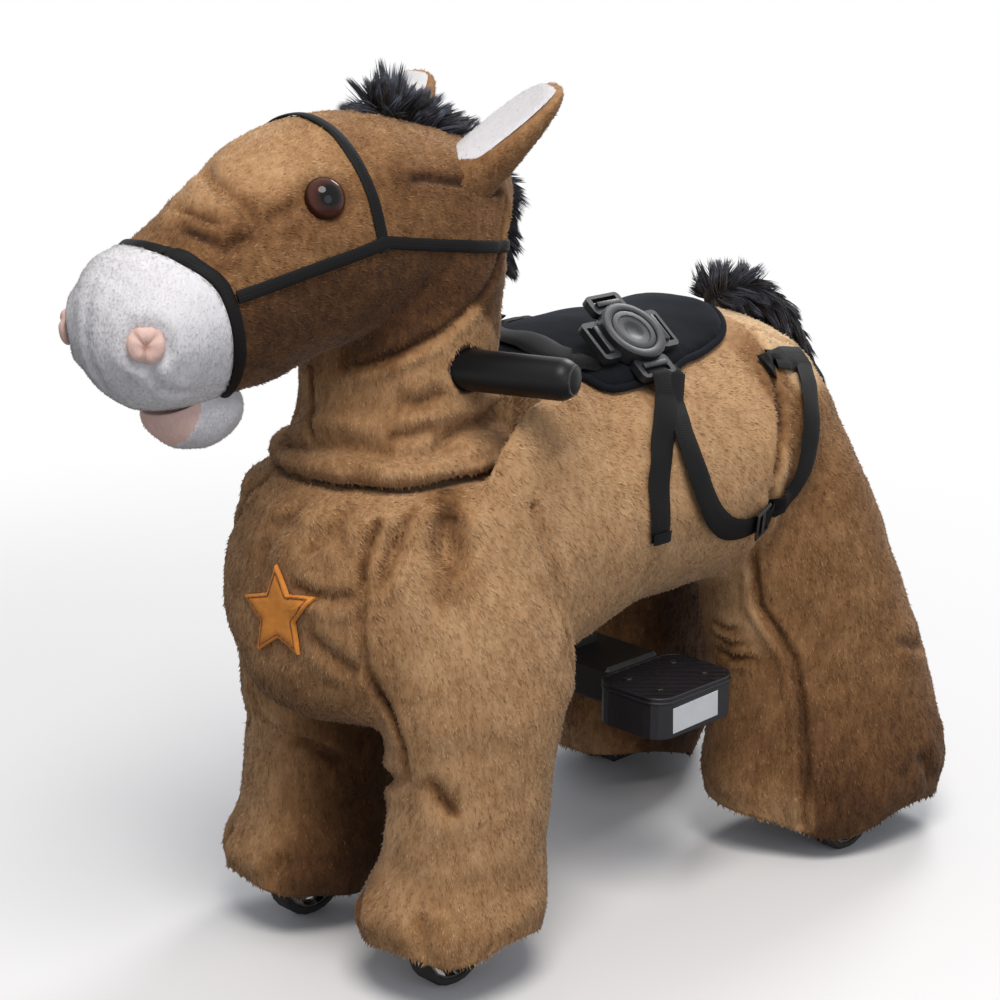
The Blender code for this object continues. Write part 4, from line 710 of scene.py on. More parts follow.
# Velour: a very short dense black pile that drinks light and shows a blue-grey bloom at its edges.
velour = new_material("black_velour")
where = add_node(velour, "TexCoord")
nap = add_node(velour, "TexNoise", {"Scale": 1000 / 9, "Detail": 4.0, "Roughness": 0.7},
               {"Vector": where.outputs["Object"]})
grain = add_node(velour, "TexNoise", {"Scale": 1000 / 1.2, "Detail": 2.0}, {"Vector": where.outputs["Object"]})
tint = add_node(velour, "MixRGB", {"Color1": linear("#0C0D10"), "Color2": linear("#1B1D23")},
                {"Fac": nap.outputs["Fac"]})
bump = add_node(velour, "Bump", {"Strength": 0.5, "Distance": 0.0006}, {"Height": grain.outputs["Fac"]})
shader = add_node(velour, "BsdfPrincipled", {"Roughness": 0.95, "Specular IOR Level": 0.15, "Sheen Weight": 0.11,
                                             "Sheen Roughness": 0.35, "Sheen Tint": linear("#9AA6C4")},
                  {"Base Color": tint.outputs["Color"], "Normal": bump.outputs["Normal"]})
add_node(velour, "OutputMaterial", None, {"Surface": shader.outputs[0]})
saddle.data.materials.append(velour)


def rope(name, points, radius, closed, sides=10, lean=None):
    """A round cord along a run of points, with its ends closed."""
    count = len(points)
    points = [Vector(p) for p in points]
    bm = bmesh.new()
    loops = []
    for i, at in enumerate(points):
        before = points[(i - 1) % count] if closed or i else at
        after = points[(i + 1) % count] if closed or i < count - 1 else at
        along = (after - before).normalized()
        up = Vector(lean[i]) if lean is not None else Vector((0, 0, 1))
        across = along.cross(up).normalized()
        up = across.cross(along).normalized()
        loops.append([bm.verts.new(at + across * (radius * math.cos(turn)) + up * (radius * math.sin(turn)))
                      for turn in (2 * math.pi * k / sides for k in range(sides))])
    bridge(bm, loops, closed)
    thing = mesh_piece(name, bm)
    thing.data.shade_smooth()
    return thing


cord_line, cord_up = [], []
for px, py in saddle_centre + (rim_points - saddle_centre) * 0.988:
    at, facing_up = back_height(px, py)
    cord_line.append(at + facing_up * 0.0046)
    cord_up.append(facing_up)
piping = rope("saddle_piping", cord_line, 0.0030, closed=True, lean=cord_up)
piping.data.materials.append(velour)
for piece in (saddle, piping):
    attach(piece, "root")
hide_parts("saddle_pad")

# ---- star patch ----------------------------------------------------------------------------------
# A plain five-pointed star die-cut from orange felt, laid on the chest and sewn down near its edge
# with a darker orange thread.
STAR_AT = (0.007, 0.2915)
STAR_SKEW = 0.11
STAR_R = 0.037


def on_chest(x, z, lift):
    """A point on the front of the chest, and which way it faces there."""
    hit = body_tree.ray_cast(Vector((x, -0.50, z)), Vector((0, 1, 0)))
    return hit[0] + hit[1] * lift, hit[1]


def star_outline(reach, steps=5):
    """The edge of the star, leaning a little as it was sewn."""
    corners = []
    for corner in range(10):
        size = reach if corner % 2 == 0 else reach * 0.50
        turn = math.pi / 2 + corner * math.pi / 5 + 0.06
        across, up = size * math.cos(turn), size * math.sin(turn)
        corners.append((STAR_AT[0] + across + STAR_SKEW * up, STAR_AT[1] + up + STAR_SKEW * across))
    points = []
    for first, second in zip(corners, corners[1:] + corners[:1]):
        for step in range(steps):
            points.append((first[0] + (second[0] - first[0]) * step / steps,
                           first[1] + (second[1] - first[1]) * step / steps))
    return points


bm = bmesh.new()
rows = []
for share, lift in ((0.90, 0.0010), (1.0, 0.0012), (1.0, 0.0034), (0.965, 0.0042), (0.90, 0.0044), (0.86, 0.0036),
                    (0.82, 0.0044), (0.60, 0.0048), (0.35, 0.0048), (0.12, 0.0048)):
    row = []
    for x, z in star_outline(STAR_R):
        at, _ = on_chest(STAR_AT[0] + (x - STAR_AT[0]) * share, STAR_AT[1] + (z - STAR_AT[1]) * share, lift)
        row.append(bm.verts.new(at))
    rows.append(row)
bridge(bm, rows)
star = mesh_piece("star_patch_felt", bm)
star.data.shade_smooth()
star.data.set_sharp_from_angle(angle=math.radians(50))

# Felt: matted wool-like fibres with no weave, so fine mottling and a fuzzy bump, no shine.
felt = new_material("orange_felt")
where = add_node(felt, "TexCoord")
mottle = add_node(felt, "TexNoise", {"Scale": 1000 / 5, "Detail": 4.0}, {"Vector": where.outputs["Object"]})
fibre = add_node(felt, "TexNoise", {"Scale": 1000 / 0.9, "Detail": 3.0, "Distortion": 1.5},
                 {"Vector": where.outputs["Object"]})
tint = add_node(felt, "MixRGB", {"Color1": linear("#CB7A30"), "Color2": linear("#EE9F4B")},
                {"Fac": mottle.outputs["Fac"]})
bump = add_node(felt, "Bump", {"Strength": 0.6, "Distance": 0.0005}, {"Height": fibre.outputs["Fac"]})
shader = add_node(felt, "BsdfPrincipled", {"Roughness": 0.9, "Specular IOR Level": 0.2, "Sheen Weight": 0.15,
                                           "Sheen Tint": linear("#FFC890")},
                  {"Base Color": tint.outputs["Color"], "Normal": bump.outputs["Normal"]})
add_node(felt, "OutputMaterial", None, {"Surface": shader.outputs[0]})
star.data.materials.append(felt)

thread_line, thread_up = [], []
for x, z in star_outline(STAR_R * 0.86, 8):
    at, facing_out = on_chest(x, z, 0.0040)
    thread_line.append(at)
    thread_up.append(facing_out)
thread = rope("star_stitching", thread_line, 0.0007, closed=True, sides=6, lean=thread_up)
# Polyester thread: two plies twisted, seen here as fine dark bands along the seam.
stitch = new_material("rust_polyester_thread")
where = add_node(stitch, "TexCoord")
ply = add_node(stitch, "TexWave", {"Scale": 1000 / 14, "Distortion": 0.5}, {"Vector": where.outputs["Object"]})
tint = add_node(stitch, "MixRGB", {"Color1": linear("#5E2E12"), "Color2": linear("#9A5522")},
                {"Fac": ply.outputs["Color"]})
shader = add_node(stitch, "BsdfPrincipled", {"Roughness": 0.6}, {"Base Color": tint.outputs["Color"]})
add_node(stitch, "OutputMaterial", None, {"Surface": shader.outputs[0]})
thread.data.materials.append(stitch)
for piece in (star, thread):
    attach(piece, "root")
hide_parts("star_patch")

# ---- buckle and harness webbing ----------------------------------------------------------------
# A round five-point safety buckle in moulded black nylon: disc housing with slotted lugs, two tongues
# pushed in, and a dished release button. Woven polyester webbing runs through the lugs.
BUCKLE_AT = Vector((0.067, 0.060, 0.4555))
BUCKLE_TILT = math.radians(39)
buckle_place = Matrix.Translation(BUCKLE_AT) @ Matrix.Rotation(BUCKLE_TILT, 4, "Y")

# Injection-moulded nylon: charcoal black, half matt from a fine spark-eroded texture in the mould.
nylon = new_material("moulded_black_nylon")
where = add_node(nylon, "TexCoord")
grit = add_node(nylon, "TexNoise", {"Scale": 1000 / 0.8, "Detail": 2.0}, {"Vector": where.outputs["Object"]})
wear = add_node(nylon, "TexNoise", {"Scale": 1000 / 12, "Detail": 5.0}, {"Vector": where.outputs["Object"]})
tint = add_node(nylon, "MixRGB", {"Color1": linear("#121316"), "Color2": linear("#222429")},
                {"Fac": wear.outputs["Fac"]})
rough = add_node(nylon, "MapRange", {"To Min": 0.34, "To Max": 0.50}, {"Value": wear.outputs["Fac"]})
bump = add_node(nylon, "Bump", {"Strength": 0.25, "Distance": 0.0002}, {"Height": grit.outputs["Fac"]})
shader = add_node(nylon, "BsdfPrincipled", None, {"Base Color": tint.outputs["Color"], "Normal": bump.outputs["Normal"],
                                                  "Roughness": rough.outputs["Result"]})
add_node(nylon, "OutputMaterial", None, {"Surface": shader.outputs[0]})


def finish_node(name, material):
    """Gives a carried-over CAD piece its surface."""
    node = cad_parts[name]
    if not node.data.materials:
        node.data.materials.append(material)
    for held in node.material_slots:
        held.link = "OBJECT"
        held.material = material


for name in ("buckle_housing", "buckle_tongue_waist", "buckle_tongue_crotch"):
    finish_node(name, nylon)


def turned_ring(name, profile, place, steps=48):
    """Spins a closed (radius, height) profile round a piece's own axis."""
    bm = bmesh.new()
    loops = []
    for step in range(steps):
        turn = 2 * math.pi * step / steps
        loops.append([bm.verts.new(place @ Vector((r * math.cos(turn), r * math.sin(turn), h))) for r, h in profile])
    for i in range(steps):
        first, second = loops[i], loops[(i + 1) % steps]
        for k in range(len(profile)):
            n = (k + 1) % len(profile)
            bm.faces.new((first[k], second[k], second[n], first[n]))
    thing = mesh_piece(name, bm)
    thing.data.shade_smooth()
    thing.data.set_sharp_from_angle(angle=math.radians(40))
    return thing


profile = [(0.0196, 0.0052), (0.0266, 0.0052), (0.0266, 0.0059), (0.0261, 0.0065), (0.0252, 0.0068), (0.0204, 0.0068),
           (0.0198, 0.0065), (0.0196, 0.0060)]
shoulder_ring = turned_ring("buckle_face_ring", profile, buckle_place)
shoulder_ring.data.materials.append(nylon)
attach(shoulder_ring, "root")



def turned(bm, profile, place, steps):
    """Spins a (radius, height) profile, whose two ends lie on the axis, into a closed skin."""
    rows = [[bm.verts.new(place @ Vector((r * math.cos(2 * math.pi * k / steps),
                                          r * math.sin(2 * math.pi * k / steps), h)))
             for k in range(steps if r else 1)] for r, h in profile]
    for first, second in zip(rows, rows[1:]):
        for k in range(steps):
            n = (k + 1) % steps
            corners = [first[k % len(first)], first[n % len(first)], second[n % len(second)], second[k % len(second)]]
            bm.faces.new(list(dict.fromkeys(corners)))


bm = bmesh.new()
profile = [(0.0, 0.0030), (0.0182, 0.0030), (0.0189, 0.0040), (0.0189, 0.0058), (0.0185, 0.0063), (0.0178, 0.0065),
           (0.0142, 0.0065), (0.0139, 0.0062), (0.0136, 0.0057), (0.0090, 0.0056), (0.0080, 0.0054), (0.0060, 0.0044),
           (0.0030, 0.0040), (0.0, 0.0039)]
turned(bm, profile, buckle_place, 48)
button = mesh_piece("buckle_release_button", bm)
button.data.shade_smooth()
button.data.set_sharp_from_angle(angle=math.radians(40))
button.data.materials.append(nylon)
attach(button, "button")
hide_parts("buckle_button")

for index, angle in enumerate((-90, 180, 0, 90)):
    turn = buckle_place @ Matrix.Rotation(math.radians(angle), 4, "Z")
    bpy.ops.mesh.primitive_cube_add(size=1)
    rib = bpy.context.active_object
    rib.name = "buckle_lug_ridge_" + "abcd"[index]
    rib.matrix_world = turn @ Matrix.Translation((0.0310, 0, 0.0018)) @ Matrix.Diagonal((0.0050, 0.0250, 0.0030, 1))
    bpy.ops.object.transform_apply(location=True, rotation=True, scale=True)
    modify(rib, "BEVEL", width=0.0011, segments=3, limit_method="NONE")
    rib.data.shade_smooth()
    rib.data.materials.append(nylon)
    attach(rib, "root")

# Woven webbing: flat polyester tape, ribs of weft across it about 1.4 mm apart and a bound edge each side.
webbing = new_material("woven_polyester_webbing")
along = add_node(webbing, "Attribute", attribute_name="along")
across = add_node(webbing, "Attribute", attribute_name="across")
both = add_node(webbing, "CombineXYZ", None, {"X": along.outputs["Fac"], "Y": across.outputs["Fac"]})
ribs = add_node(webbing, "TexWave", {"Scale": 1000 / 1.0 / 2 / math.pi, "Distortion": 0.2},
                {"Vector": both.outputs[0]}, bands_direction="X")
warp = add_node(webbing, "TexWave", {"Scale": 1000 / 1.1 / 2 / math.pi, "Distortion": 0.2},
                {"Vector": both.outputs[0]}, bands_direction="Y")
weave = add_node(webbing, "Math", None, {0: ribs.outputs["Fac"], 1: warp.outputs["Fac"]}, operation="MULTIPLY")
tint = add_node(webbing, "MixRGB", {"Color1": linear("#040405"), "Color2": linear("#0E0E11")},
                {"Fac": weave.outputs[0]})
bump = add_node(webbing, "Bump", {"Strength": 0.45, "Distance": 0.0003}, {"Height": weave.outputs[0]})
shader = add_node(webbing, "BsdfPrincipled", {"Roughness": 0.62, "Specular IOR Level": 0.18},
                  {"Base Color": tint.outputs["Color"], "Normal": bump.outputs["Normal"]})
add_node(webbing, "OutputMaterial", None, {"Surface": shader.outputs[0]})


def tape(name, centre, facing, width, thickness, closed=False, crown=0.15, sides=7):
    """A flat woven band along a run of points, lying square to facing, with rounded edges."""
    count = len(centre)
    centre = [Vector(p) for p in centre]
    facing = [Vector(f) for f in facing]
    bm = bmesh.new()
    loops, run, place_along, place_across = [], 0.0, [], []
    for i, at in enumerate(centre):
        before = centre[(i - 1) % count] if closed or i else at
        after = centre[(i + 1) % count] if closed or i < count - 1 else at
        forward = (after - before).normalized()
        side = forward.cross(facing[i]).normalized()
        up = side.cross(forward).normalized()
        if i:
            run += (at - centre[i - 1]).length
        loop = []
        for k in range(sides):
            share = -1 + 2 * k / (sides - 1)
            edge = 1 - abs(share) ** 6
            loop.append(bm.verts.new(at + side * (share * width / 2)
                                     + up * thickness * (0.55 + 0.45 * edge + crown * (1 - share * share))))
            place_across.append(share * width / 2)
        for k in range(sides):
            share = 1 - 2 * k / (sides - 1)
            loop.append(bm.verts.new(at + side * (share * width / 2 * 0.995)
                                     + up * thickness * 0.35 * abs(share) ** 6))
            place_across.append(share * width / 2)
        place_along += [run] * (2 * sides)
        loops.append(loop)
    bridge(bm, loops, closed)
    thing = mesh_piece(name, bm)
    set_values(thing, "along", place_along)
    set_values(thing, "across", place_across)
    thing.data.shade_smooth()
    thing.data.set_sharp_from_angle(angle=math.radians(60))
    thing.data.materials.append(webbing)
    return thing


def over_saddle(x, y, lift):
    """A point above the saddle pad, and which way it faces there."""
    at, facing_up = back_height(x, y)
    return at + facing_up * (SADDLE_T + lift), facing_up


# folded shoulder straps across the front of the saddle: two soft padded layers, puckered where they turn
harness_pieces = []
for label, shift, lift, width in (("lower", 0.0, 0.0016, 0.031), ("upper", 0.0040, 0.0068, 0.027)):
    course = even_points([(0.058, 0.022), (0.052, 0.006), (0.038, -0.0035 + shift * 0.5), (0.012, -0.008 + shift),
                          (-0.016, -0.004 + shift), (-0.038, 0.008 + shift), (-0.052, 0.034), (-0.056, 0.066)],
                         44, closed=False)
    if label == "upper":
        course = course[4:-6]
    spots, ups = [], []
    for i, (x, y) in enumerate(course):
        share = i / (len(course) - 1)
        wave = 0.0011 * math.sin(share * 17 + shift * 900) * math.sin(math.pi * share)
        at, facing_up = over_saddle(x, y, lift + wave)
        spots.append(at)
        ups.append(facing_up + Vector((0, 0.20 * math.sin(share * 9 + lift * 400), 0)))
    harness_pieces.append(tape("shoulder_strap_" + label, spots, ups, width, 0.0034, crown=0.45, sides=9))
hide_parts("shoulder_straps")


def flank(y, z, lift):
    """A point on the left flank, seen square from that side."""
    hit = body_tree.ray_cast(Vector((0.40, y, z)), Vector((-1, 0, 0)))
    return hit[0] + hit[1] * lift, hit[1]


# the crotch strap's loose tail hangs from the buckle's outer lug, flat on the flank
lug_out = buckle_place @ Vector((0.0385, 0, -0.002))
spots = [lug_out + Vector((-0.003, 0, 0.003)), lug_out + Vector((0.0035, 0, 0.0005))]
ups = [Vector((0.6, 0, 0.8)), Vector((0.8, 0, 0.6))]
for y, z in even_points([(0.0600, 0.411), (0.0470, 0.398), (0.0310, 0.375), (0.0205, 0.348), (0.0190, 0.318)],
                        26, closed=False):
    at, facing_out = flank(y, z, 0.0030 + 0.004 * max(0.0, (z - 0.385) / 0.025))
    spots.append(at)
    ups.append(facing_out)
harness_pieces.append(tape("crotch_strap_tail", spots, ups, 0.0205, 0.0018))
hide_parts("flank_strap")
# its cut end is folded over and bar-tacked
at, facing_out = flank(0.0193, 0.3250, 0.0052)
below, facing_low = flank(0.0190, 0.3165, 0.0052)
harness_pieces.append(tape("crotch_strap_hem", [at, (at + below) / 2, below], [facing_out, facing_out, facing_low],
                           0.0196, 0.0018))

# the waist strap runs from the same lug down the flank, forward of the hip, and up to its anchor
spots = [lug_out + Vector((0.000, 0.012, 0.001)), lug_out + Vector((0.004, 0.014, -0.002))]
ups = [Vector((0.7, 0, 0.7))] * 2
for y, z in even_points([(0.0680, 0.408), (0.0590, 0.388), (0.0590, 0.362), (0.0720, 0.333), (0.0980, 0.312),
                         (0.1280, 0.306), (0.1500, 0.312), (0.1680, 0.322), (0.1790, 0.340), (0.1900, 0.366),
                         (0.2030, 0.386), (0.2180, 0.399), (0.2320, 0.409)], 72, closed=False):
    at, facing_out = flank(y, z, 0.0034 + 0.0050 * math.exp(-((z - 0.36) / 0.03) ** 2))
    spots.append(at)
    ups.append(facing_out)
harness_pieces.append(tape("waist_strap_loop", spots, ups, 0.0195, 0.0018))
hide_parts("loop_strap")
# the black elastic anchor that holds it to the seam behind the saddle
spots, ups = [], []
for y, z in even_points([(0.180, 0.4150), (0.198, 0.4165), (0.218, 0.4150), (0.240, 0.4105)], 14, closed=False):
    at, facing_out = flank(y, z, 0.0036)
    spots.append(at)
    ups.append(facing_out)
harness_pieces.append(tape("waist_strap_anchor", spots, ups, 0.022, 0.0022))
# the sliding adjuster: a small frame with a middle bar that the strap is threaded through
at, facing_out = flank(0.143, 0.3090, 0.0062)
along = (flank(0.152, 0.3125, 0.0062)[0] - flank(0.134, 0.3065, 0.0062)[0]).normalized()
place = Matrix.Translation(at) @ Matrix((along, facing_out.cross(along).normalized(), facing_out)).transposed().to_4x4()
bpy.ops.mesh.primitive_cube_add(size=1)
slider = bpy.context.active_object
slider.name = "strap_adjuster"
slider.data.transform(Matrix.Diagonal((0.0200, 0.0265, 0.0028, 1)))
modify(slider, "BEVEL", width=0.0011, segments=3, limit_method="NONE")
for shift in (-0.0045, 0.0045):
    bpy.ops.mesh.primitive_cube_add(size=1)
    window = bpy.context.active_object
    window.data.transform(Matrix.Translation((shift, 0, 0.0012)) @ Matrix.Diagonal((0.0048, 0.0205, 0.0040, 1)))
    modify(slider, "BOOLEAN", object=window, operation="DIFFERENCE", solver="EXACT")
    bpy.data.objects.remove(window)
slider.data.transform(place)
slider.data.shade_smooth()
slider.data.set_sharp_from_angle(angle=math.radians(35))
slider.data.materials.append(nylon)
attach(slider, "root")
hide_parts("strap_slider")
for piece in harness_pieces:
    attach(piece, "root")

# ---- chassis, wheels and drive -------------------------------------------------------------------
# The steel frame under the plush, its rubber-tyred chromed wheels, gear boxes, motors, battery and
# controller. These keep their CAD shapes and take the finish of each real part.

# Powder-coated steel: an even satin black coat with slight orange peel and dust on it.
coated = new_material("satin_black_powder_coat")
where = add_node(coated, "TexCoord")
peel = add_node(coated, "TexNoise", {"Scale": 1000 / 2.5, "Detail": 2.0}, {"Vector": where.outputs["Object"]})
dust = add_node(coated, "TexNoise", {"Scale": 1000 / 30, "Detail": 6.0, "Roughness": 0.65},
                {"Vector": where.outputs["Object"]})
tint = add_node(coated, "MixRGB", {"Color1": linear("#131314"), "Color2": linear("#2B2A28")},
                {"Fac": dust.outputs["Fac"]})
rough = add_node(coated, "MapRange", {"To Min": 0.35, "To Max": 0.6}, {"Value": dust.outputs["Fac"]})
bump = add_node(coated, "Bump", {"Strength": 0.2, "Distance": 0.0004}, {"Height": peel.outputs["Fac"]})
shader = add_node(coated, "BsdfPrincipled", None,
                  {"Base Color": tint.outputs["Color"], "Normal": bump.outputs["Normal"],
                   "Roughness": rough.outputs["Result"]})
add_node(coated, "OutputMaterial", None, {"Surface": shader.outputs[0]})
for name in ("spine_tube", "head_tube", "front_beam", "front_leg_l", "front_leg_r", "rear_beam", "rear_leg_l",
             "rear_leg_r", "steer_fork_l", "steer_fork_r", "tie_bar", "seat_support", "footrest_beam",
             "steering_column", "handlebar"):
    finish_node(name, coated)

# Chrome plate on pressed steel: a bright mirror, hazed here and there by polishing and grit.
chrome = new_material("bright_chrome_plate")
where = add_node(chrome, "TexCoord")
haze = add_node(chrome, "TexNoise", {"Scale": 1000 / 8, "Detail": 5.0}, {"Vector": where.outputs["Object"]})
rough = add_node(chrome, "MapRange", {"To Min": 0.06, "To Max": 0.24}, {"Value": haze.outputs["Fac"]})
tint = add_node(chrome, "MixRGB", {"Color1": linear("#D9D9DB"), "Color2": linear("#B9B6AE")},
                {"Fac": haze.outputs["Fac"]})
shader = add_node(chrome, "BsdfPrincipled", {"Metallic": 1.0},
                  {"Base Color": tint.outputs["Color"], "Roughness": rough.outputs["Result"]})
add_node(chrome, "OutputMaterial", None, {"Surface": shader.outputs[0]})
for name in ("rim_fl", "rim_fr", "rim_rl", "rim_rr"):
    finish_node(name, chrome)

# Moulded tyre rubber: black, dull, with floor dust caught in its fine texture.
rubber = new_material("moulded_tyre_rubber")
where = add_node(rubber, "TexCoord")
scuff = add_node(rubber, "TexNoise", {"Scale": 1000 / 6, "Detail": 5.0, "Roughness": 0.7},
                 {"Vector": where.outputs["Object"]})
tint = add_node(rubber, "MixRGB", {"Color1": linear("#161617"), "Color2": linear("#3A3836")},
                {"Fac": scuff.outputs["Fac"]})
bump = add_node(rubber, "Bump", {"Strength": 0.4, "Distance": 0.0004}, {"Height": scuff.outputs["Fac"]})
shader = add_node(rubber, "BsdfPrincipled", {"Roughness": 0.8},
                  {"Base Color": tint.outputs["Color"], "Normal": bump.outputs["Normal"]})
add_node(rubber, "OutputMaterial", None, {"Surface": shader.outputs[0]})
for name in ("tyre_fl", "tyre_fr", "tyre_rl", "tyre_rr"):
    finish_node(name, rubber)

for name in ("gear_housing_l", "gear_housing_r", "battery"):
    finish_node(name, nylon)

# Zinc-plated motor cans and the controller's pressed aluminium box: grey, softly streaked metal.
zinc = new_material("zinc_plated_steel")
where = add_node(zinc, "TexCoord")
streak = add_node(zinc, "Mapping", {"Scale": (1, 8, 8)}, {"Vector": where.outputs["Object"]})
streak = add_node(zinc, "TexNoise", {"Scale": 1000 / 40, "Detail": 4.0}, {"Vector": streak.outputs["Vector"]})
tint = add_node(zinc, "MixRGB", {"Color1": linear("#8E9092"), "Color2": linear("#C2C3C0")},
                {"Fac": streak.outputs["Fac"]})
rough = add_node(zinc, "MapRange", {"To Min": 0.28, "To Max": 0.45}, {"Value": streak.outputs["Fac"]})
shader = add_node(zinc, "BsdfPrincipled", {"Metallic": 1.0},
                  {"Base Color": tint.outputs["Color"], "Roughness": rough.outputs["Result"]})
add_node(zinc, "OutputMaterial", None, {"Surface": shader.outputs[0]})
for name in ("drive_motor_l", "drive_motor_r", "motor_controller"):
    finish_node(name, zinc)

# Natural cast nylon for the pinions: warm white, slightly waxy.
natural = new_material("natural_cast_nylon")
where = add_node(natural, "TexCoord")
cloud = add_node(natural, "TexNoise", {"Scale": 1000 / 4, "Detail": 3.0}, {"Vector": where.outputs["Object"]})
tint = add_node(natural, "MixRGB", {"Color1": linear("#D8D2C2"), "Color2": linear("#EAE6DA")},
                {"Fac": cloud.outputs["Fac"]})
shader = add_node(natural, "BsdfPrincipled", {"Roughness": 0.42}, {"Base Color": tint.outputs["Color"]})
add_node(natural, "OutputMaterial", None, {"Surface": shader.outputs[0]})
for name in ("drive_pinion_l", "drive_pinion_r"):
    finish_node(name, natural)

# ---- footrests -------------------------------------------------------------------------------
# Moulded black plastic boxes with a ribbed anti-slip lid, screwed to the cross bar. A blank adhesive
# label is stuck on each outer face.
ribbed = new_material("ribbed_black_polypropylene")
where = add_node(ribbed, "TexCoord")
grit = add_node(ribbed, "TexNoise", {"Scale": 1000 / 0.9, "Detail": 2.0}, {"Vector": where.outputs["Object"]})
wear = add_node(ribbed, "TexNoise", {"Scale": 1000 / 18, "Detail": 6.0, "Roughness": 0.6},
                {"Vector": where.outputs["Object"]})
tint = add_node(ribbed, "MixRGB", {"Color1": linear("#0B0A0D"), "Color2": linear("#201E25")},
                {"Fac": wear.outputs["Fac"]})
rough = add_node(ribbed, "MapRange", {"To Min": 0.38, "To Max": 0.58}, {"Value": wear.outputs["Fac"]})
bump = add_node(ribbed, "Bump", {"Strength": 0.3, "Distance": 0.0002}, {"Height": grit.outputs["Fac"]})
shader = add_node(ribbed, "BsdfPrincipled", None,
                  {"Base Color": tint.outputs["Color"], "Normal": bump.outputs["Normal"],
                   "Roughness": rough.outputs["Result"]})
add_node(ribbed, "OutputMaterial", None, {"Surface": shader.outputs[0]})
for name in ("footrest_shell_l", "footrest_shell_r"):
    finish_node(name, ribbed)

# The lid's ribs are dark plastic, polished paler in soft patches by shoes.
tread = new_material("worn_ribbed_tread")
where = add_node(tread, "TexCoord")
wear = add_node(tread, "TexNoise", {"Scale": 1000 / 25, "Detail": 5.0}, {"Vector": where.outputs["Object"]})
tint = add_node(tread, "MixRGB", {"Color1": linear("#15151A"), "Color2": linear("#25252C")},
                {"Fac": wear.outputs["Fac"]})
shader = add_node(tread, "BsdfPrincipled", {"Roughness": 0.36, "Specular IOR Level": 0.6},
                  {"Base Color": tint.outputs["Color"]})
add_node(tread, "OutputMaterial", None, {"Surface": shader.outputs[0]})
for name in ("footrest_tread_l", "footrest_tread_r"):
    finish_node(name, tread)

# Printed-film label, left blank: matt coated paper, a little creased.
label_film = new_material("blank_label_film")
where = add_node(label_film, "TexCoord")
crease = add_node(label_film, "TexNoise", {"Scale": 1000 / 14, "Detail": 3.0}, {"Vector": where.outputs["Object"]})
tint = add_node(label_film, "MixRGB", {"Color1": linear("#C9CCD0"), "Color2": linear("#DCDEE1")},
                {"Fac": crease.outputs["Fac"]})
bump = add_node(label_film, "Bump", {"Strength": 0.15, "Distance": 0.0004}, {"Height": crease.outputs["Fac"]})
shader = add_node(label_film, "BsdfPrincipled", {"Roughness": 0.45},
                  {"Base Color": tint.outputs["Color"], "Normal": bump.outputs["Normal"]})
add_node(label_film, "OutputMaterial", None, {"Surface": shader.outputs[0]})

for tag, side in (("l", 1), ("r", -1)):
    low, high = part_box("footrest_shell_" + tag)
    tread_low, tread_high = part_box("footrest_tread_" + tag)
    outer = high.x if side > 0 else low.x
    # the lid's rounded shoulder, a bead that hides the joint between lid and box
    corner, middle_x, middle_y = 0.016, (low.x + high.x) / 2, (low.y + high.y) / 2
    half_x, half_y = (high.x - low.x) / 2, (high.y - low.y) / 2
    line = []
    for quarter, (cx, cy) in enumerate(((1, 1), (-1, 1), (-1, -1), (1, -1))):
        for step in range(9):
            turn = math.pi / 2 * (quarter + step / 8)
            line.append((middle_x + cx * (half_x - corner) + corner * math.cos(turn),
                         middle_y + cy * (half_y - corner) + corner * math.sin(turn), tread_low.z))
    bead = rope("footrest_bead_" + tag, line, 0.0011, closed=True, sides=8)
    bead.data.materials.append(ribbed)
    upper_line = [(x + (middle_x - x) * 0.010, y + (middle_y - y) * 0.010, tread_high.z - 0.0006) for x, y, _ in line]
    bead_top = rope("footrest_rim_" + tag, upper_line, 0.0012, closed=True, sides=8)
    bead_top.data.materials.append(ribbed)
    pieces = [bead, bead_top]
    # label on the outer face
    bpy.ops.mesh.primitive_cube_add(size=1)
    label = bpy.context.active_object
    label.name = "blank_label_" + tag
    label_at = (outer + side * 0.00015, middle_y - 0.004, (low.z + tread_low.z) / 2 - 0.0005)
    label.matrix_world = (Matrix.Translation(label_at) @ Matrix.Rotation(math.radians(1.5), 4, "X")
                          @ Matrix.Diagonal((0.0005, 0.052, 0.0205, 1)))
    bpy.ops.object.transform_apply(location=True, rotation=True, scale=True)
    modify(label, "BEVEL", width=0.0002, segments=2, limit_method="NONE")
    label.data.materials.append(label_film)
    pieces.append(label)
    # four pan-head screws with a cross recess
    for index, (dx, dy) in enumerate(((-0.016, -0.026), (0.016, -0.026), (-0.016, 0.026), (0.016, 0.026))):
        bpy.ops.mesh.primitive_cylinder_add(vertices=20, radius=0.0030, depth=0.0022,
                                            location=(middle_x + dx * side, middle_y + dy, tread_high.z + 0.0003))
        screw = bpy.context.active_object
        screw.name = "footrest_screw_" + tag + str(index)
        bpy.ops.object.transform_apply(location=True, rotation=True, scale=True)
        modify(screw, "BEVEL", width=0.0008, segments=3, limit_method="ANGLE", angle_limit=math.radians(40))
        top_z = tread_high.z + 0.0014
        for turn in (0.4 + index, 0.4 + index + math.pi / 2):
            bpy.ops.mesh.primitive_cube_add(size=1)
            slot = bpy.context.active_object
            slot.matrix_world = Matrix.Translation((middle_x + dx * side, middle_y + dy, top_z)) \
                @ Matrix.Rotation(turn, 4, "Z") @ Matrix.Diagonal((0.0038, 0.0007, 0.0012, 1))
            modify(screw, "BOOLEAN", object=slot, operation="DIFFERENCE", solver="EXACT")
            bpy.data.objects.remove(slot)
        screw.data.shade_smooth()
        screw.data.set_sharp_from_angle(angle=math.radians(40))
        screw.data.materials.append(coated)
        pieces.append(screw)
    for piece in pieces:
        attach(piece, "root")

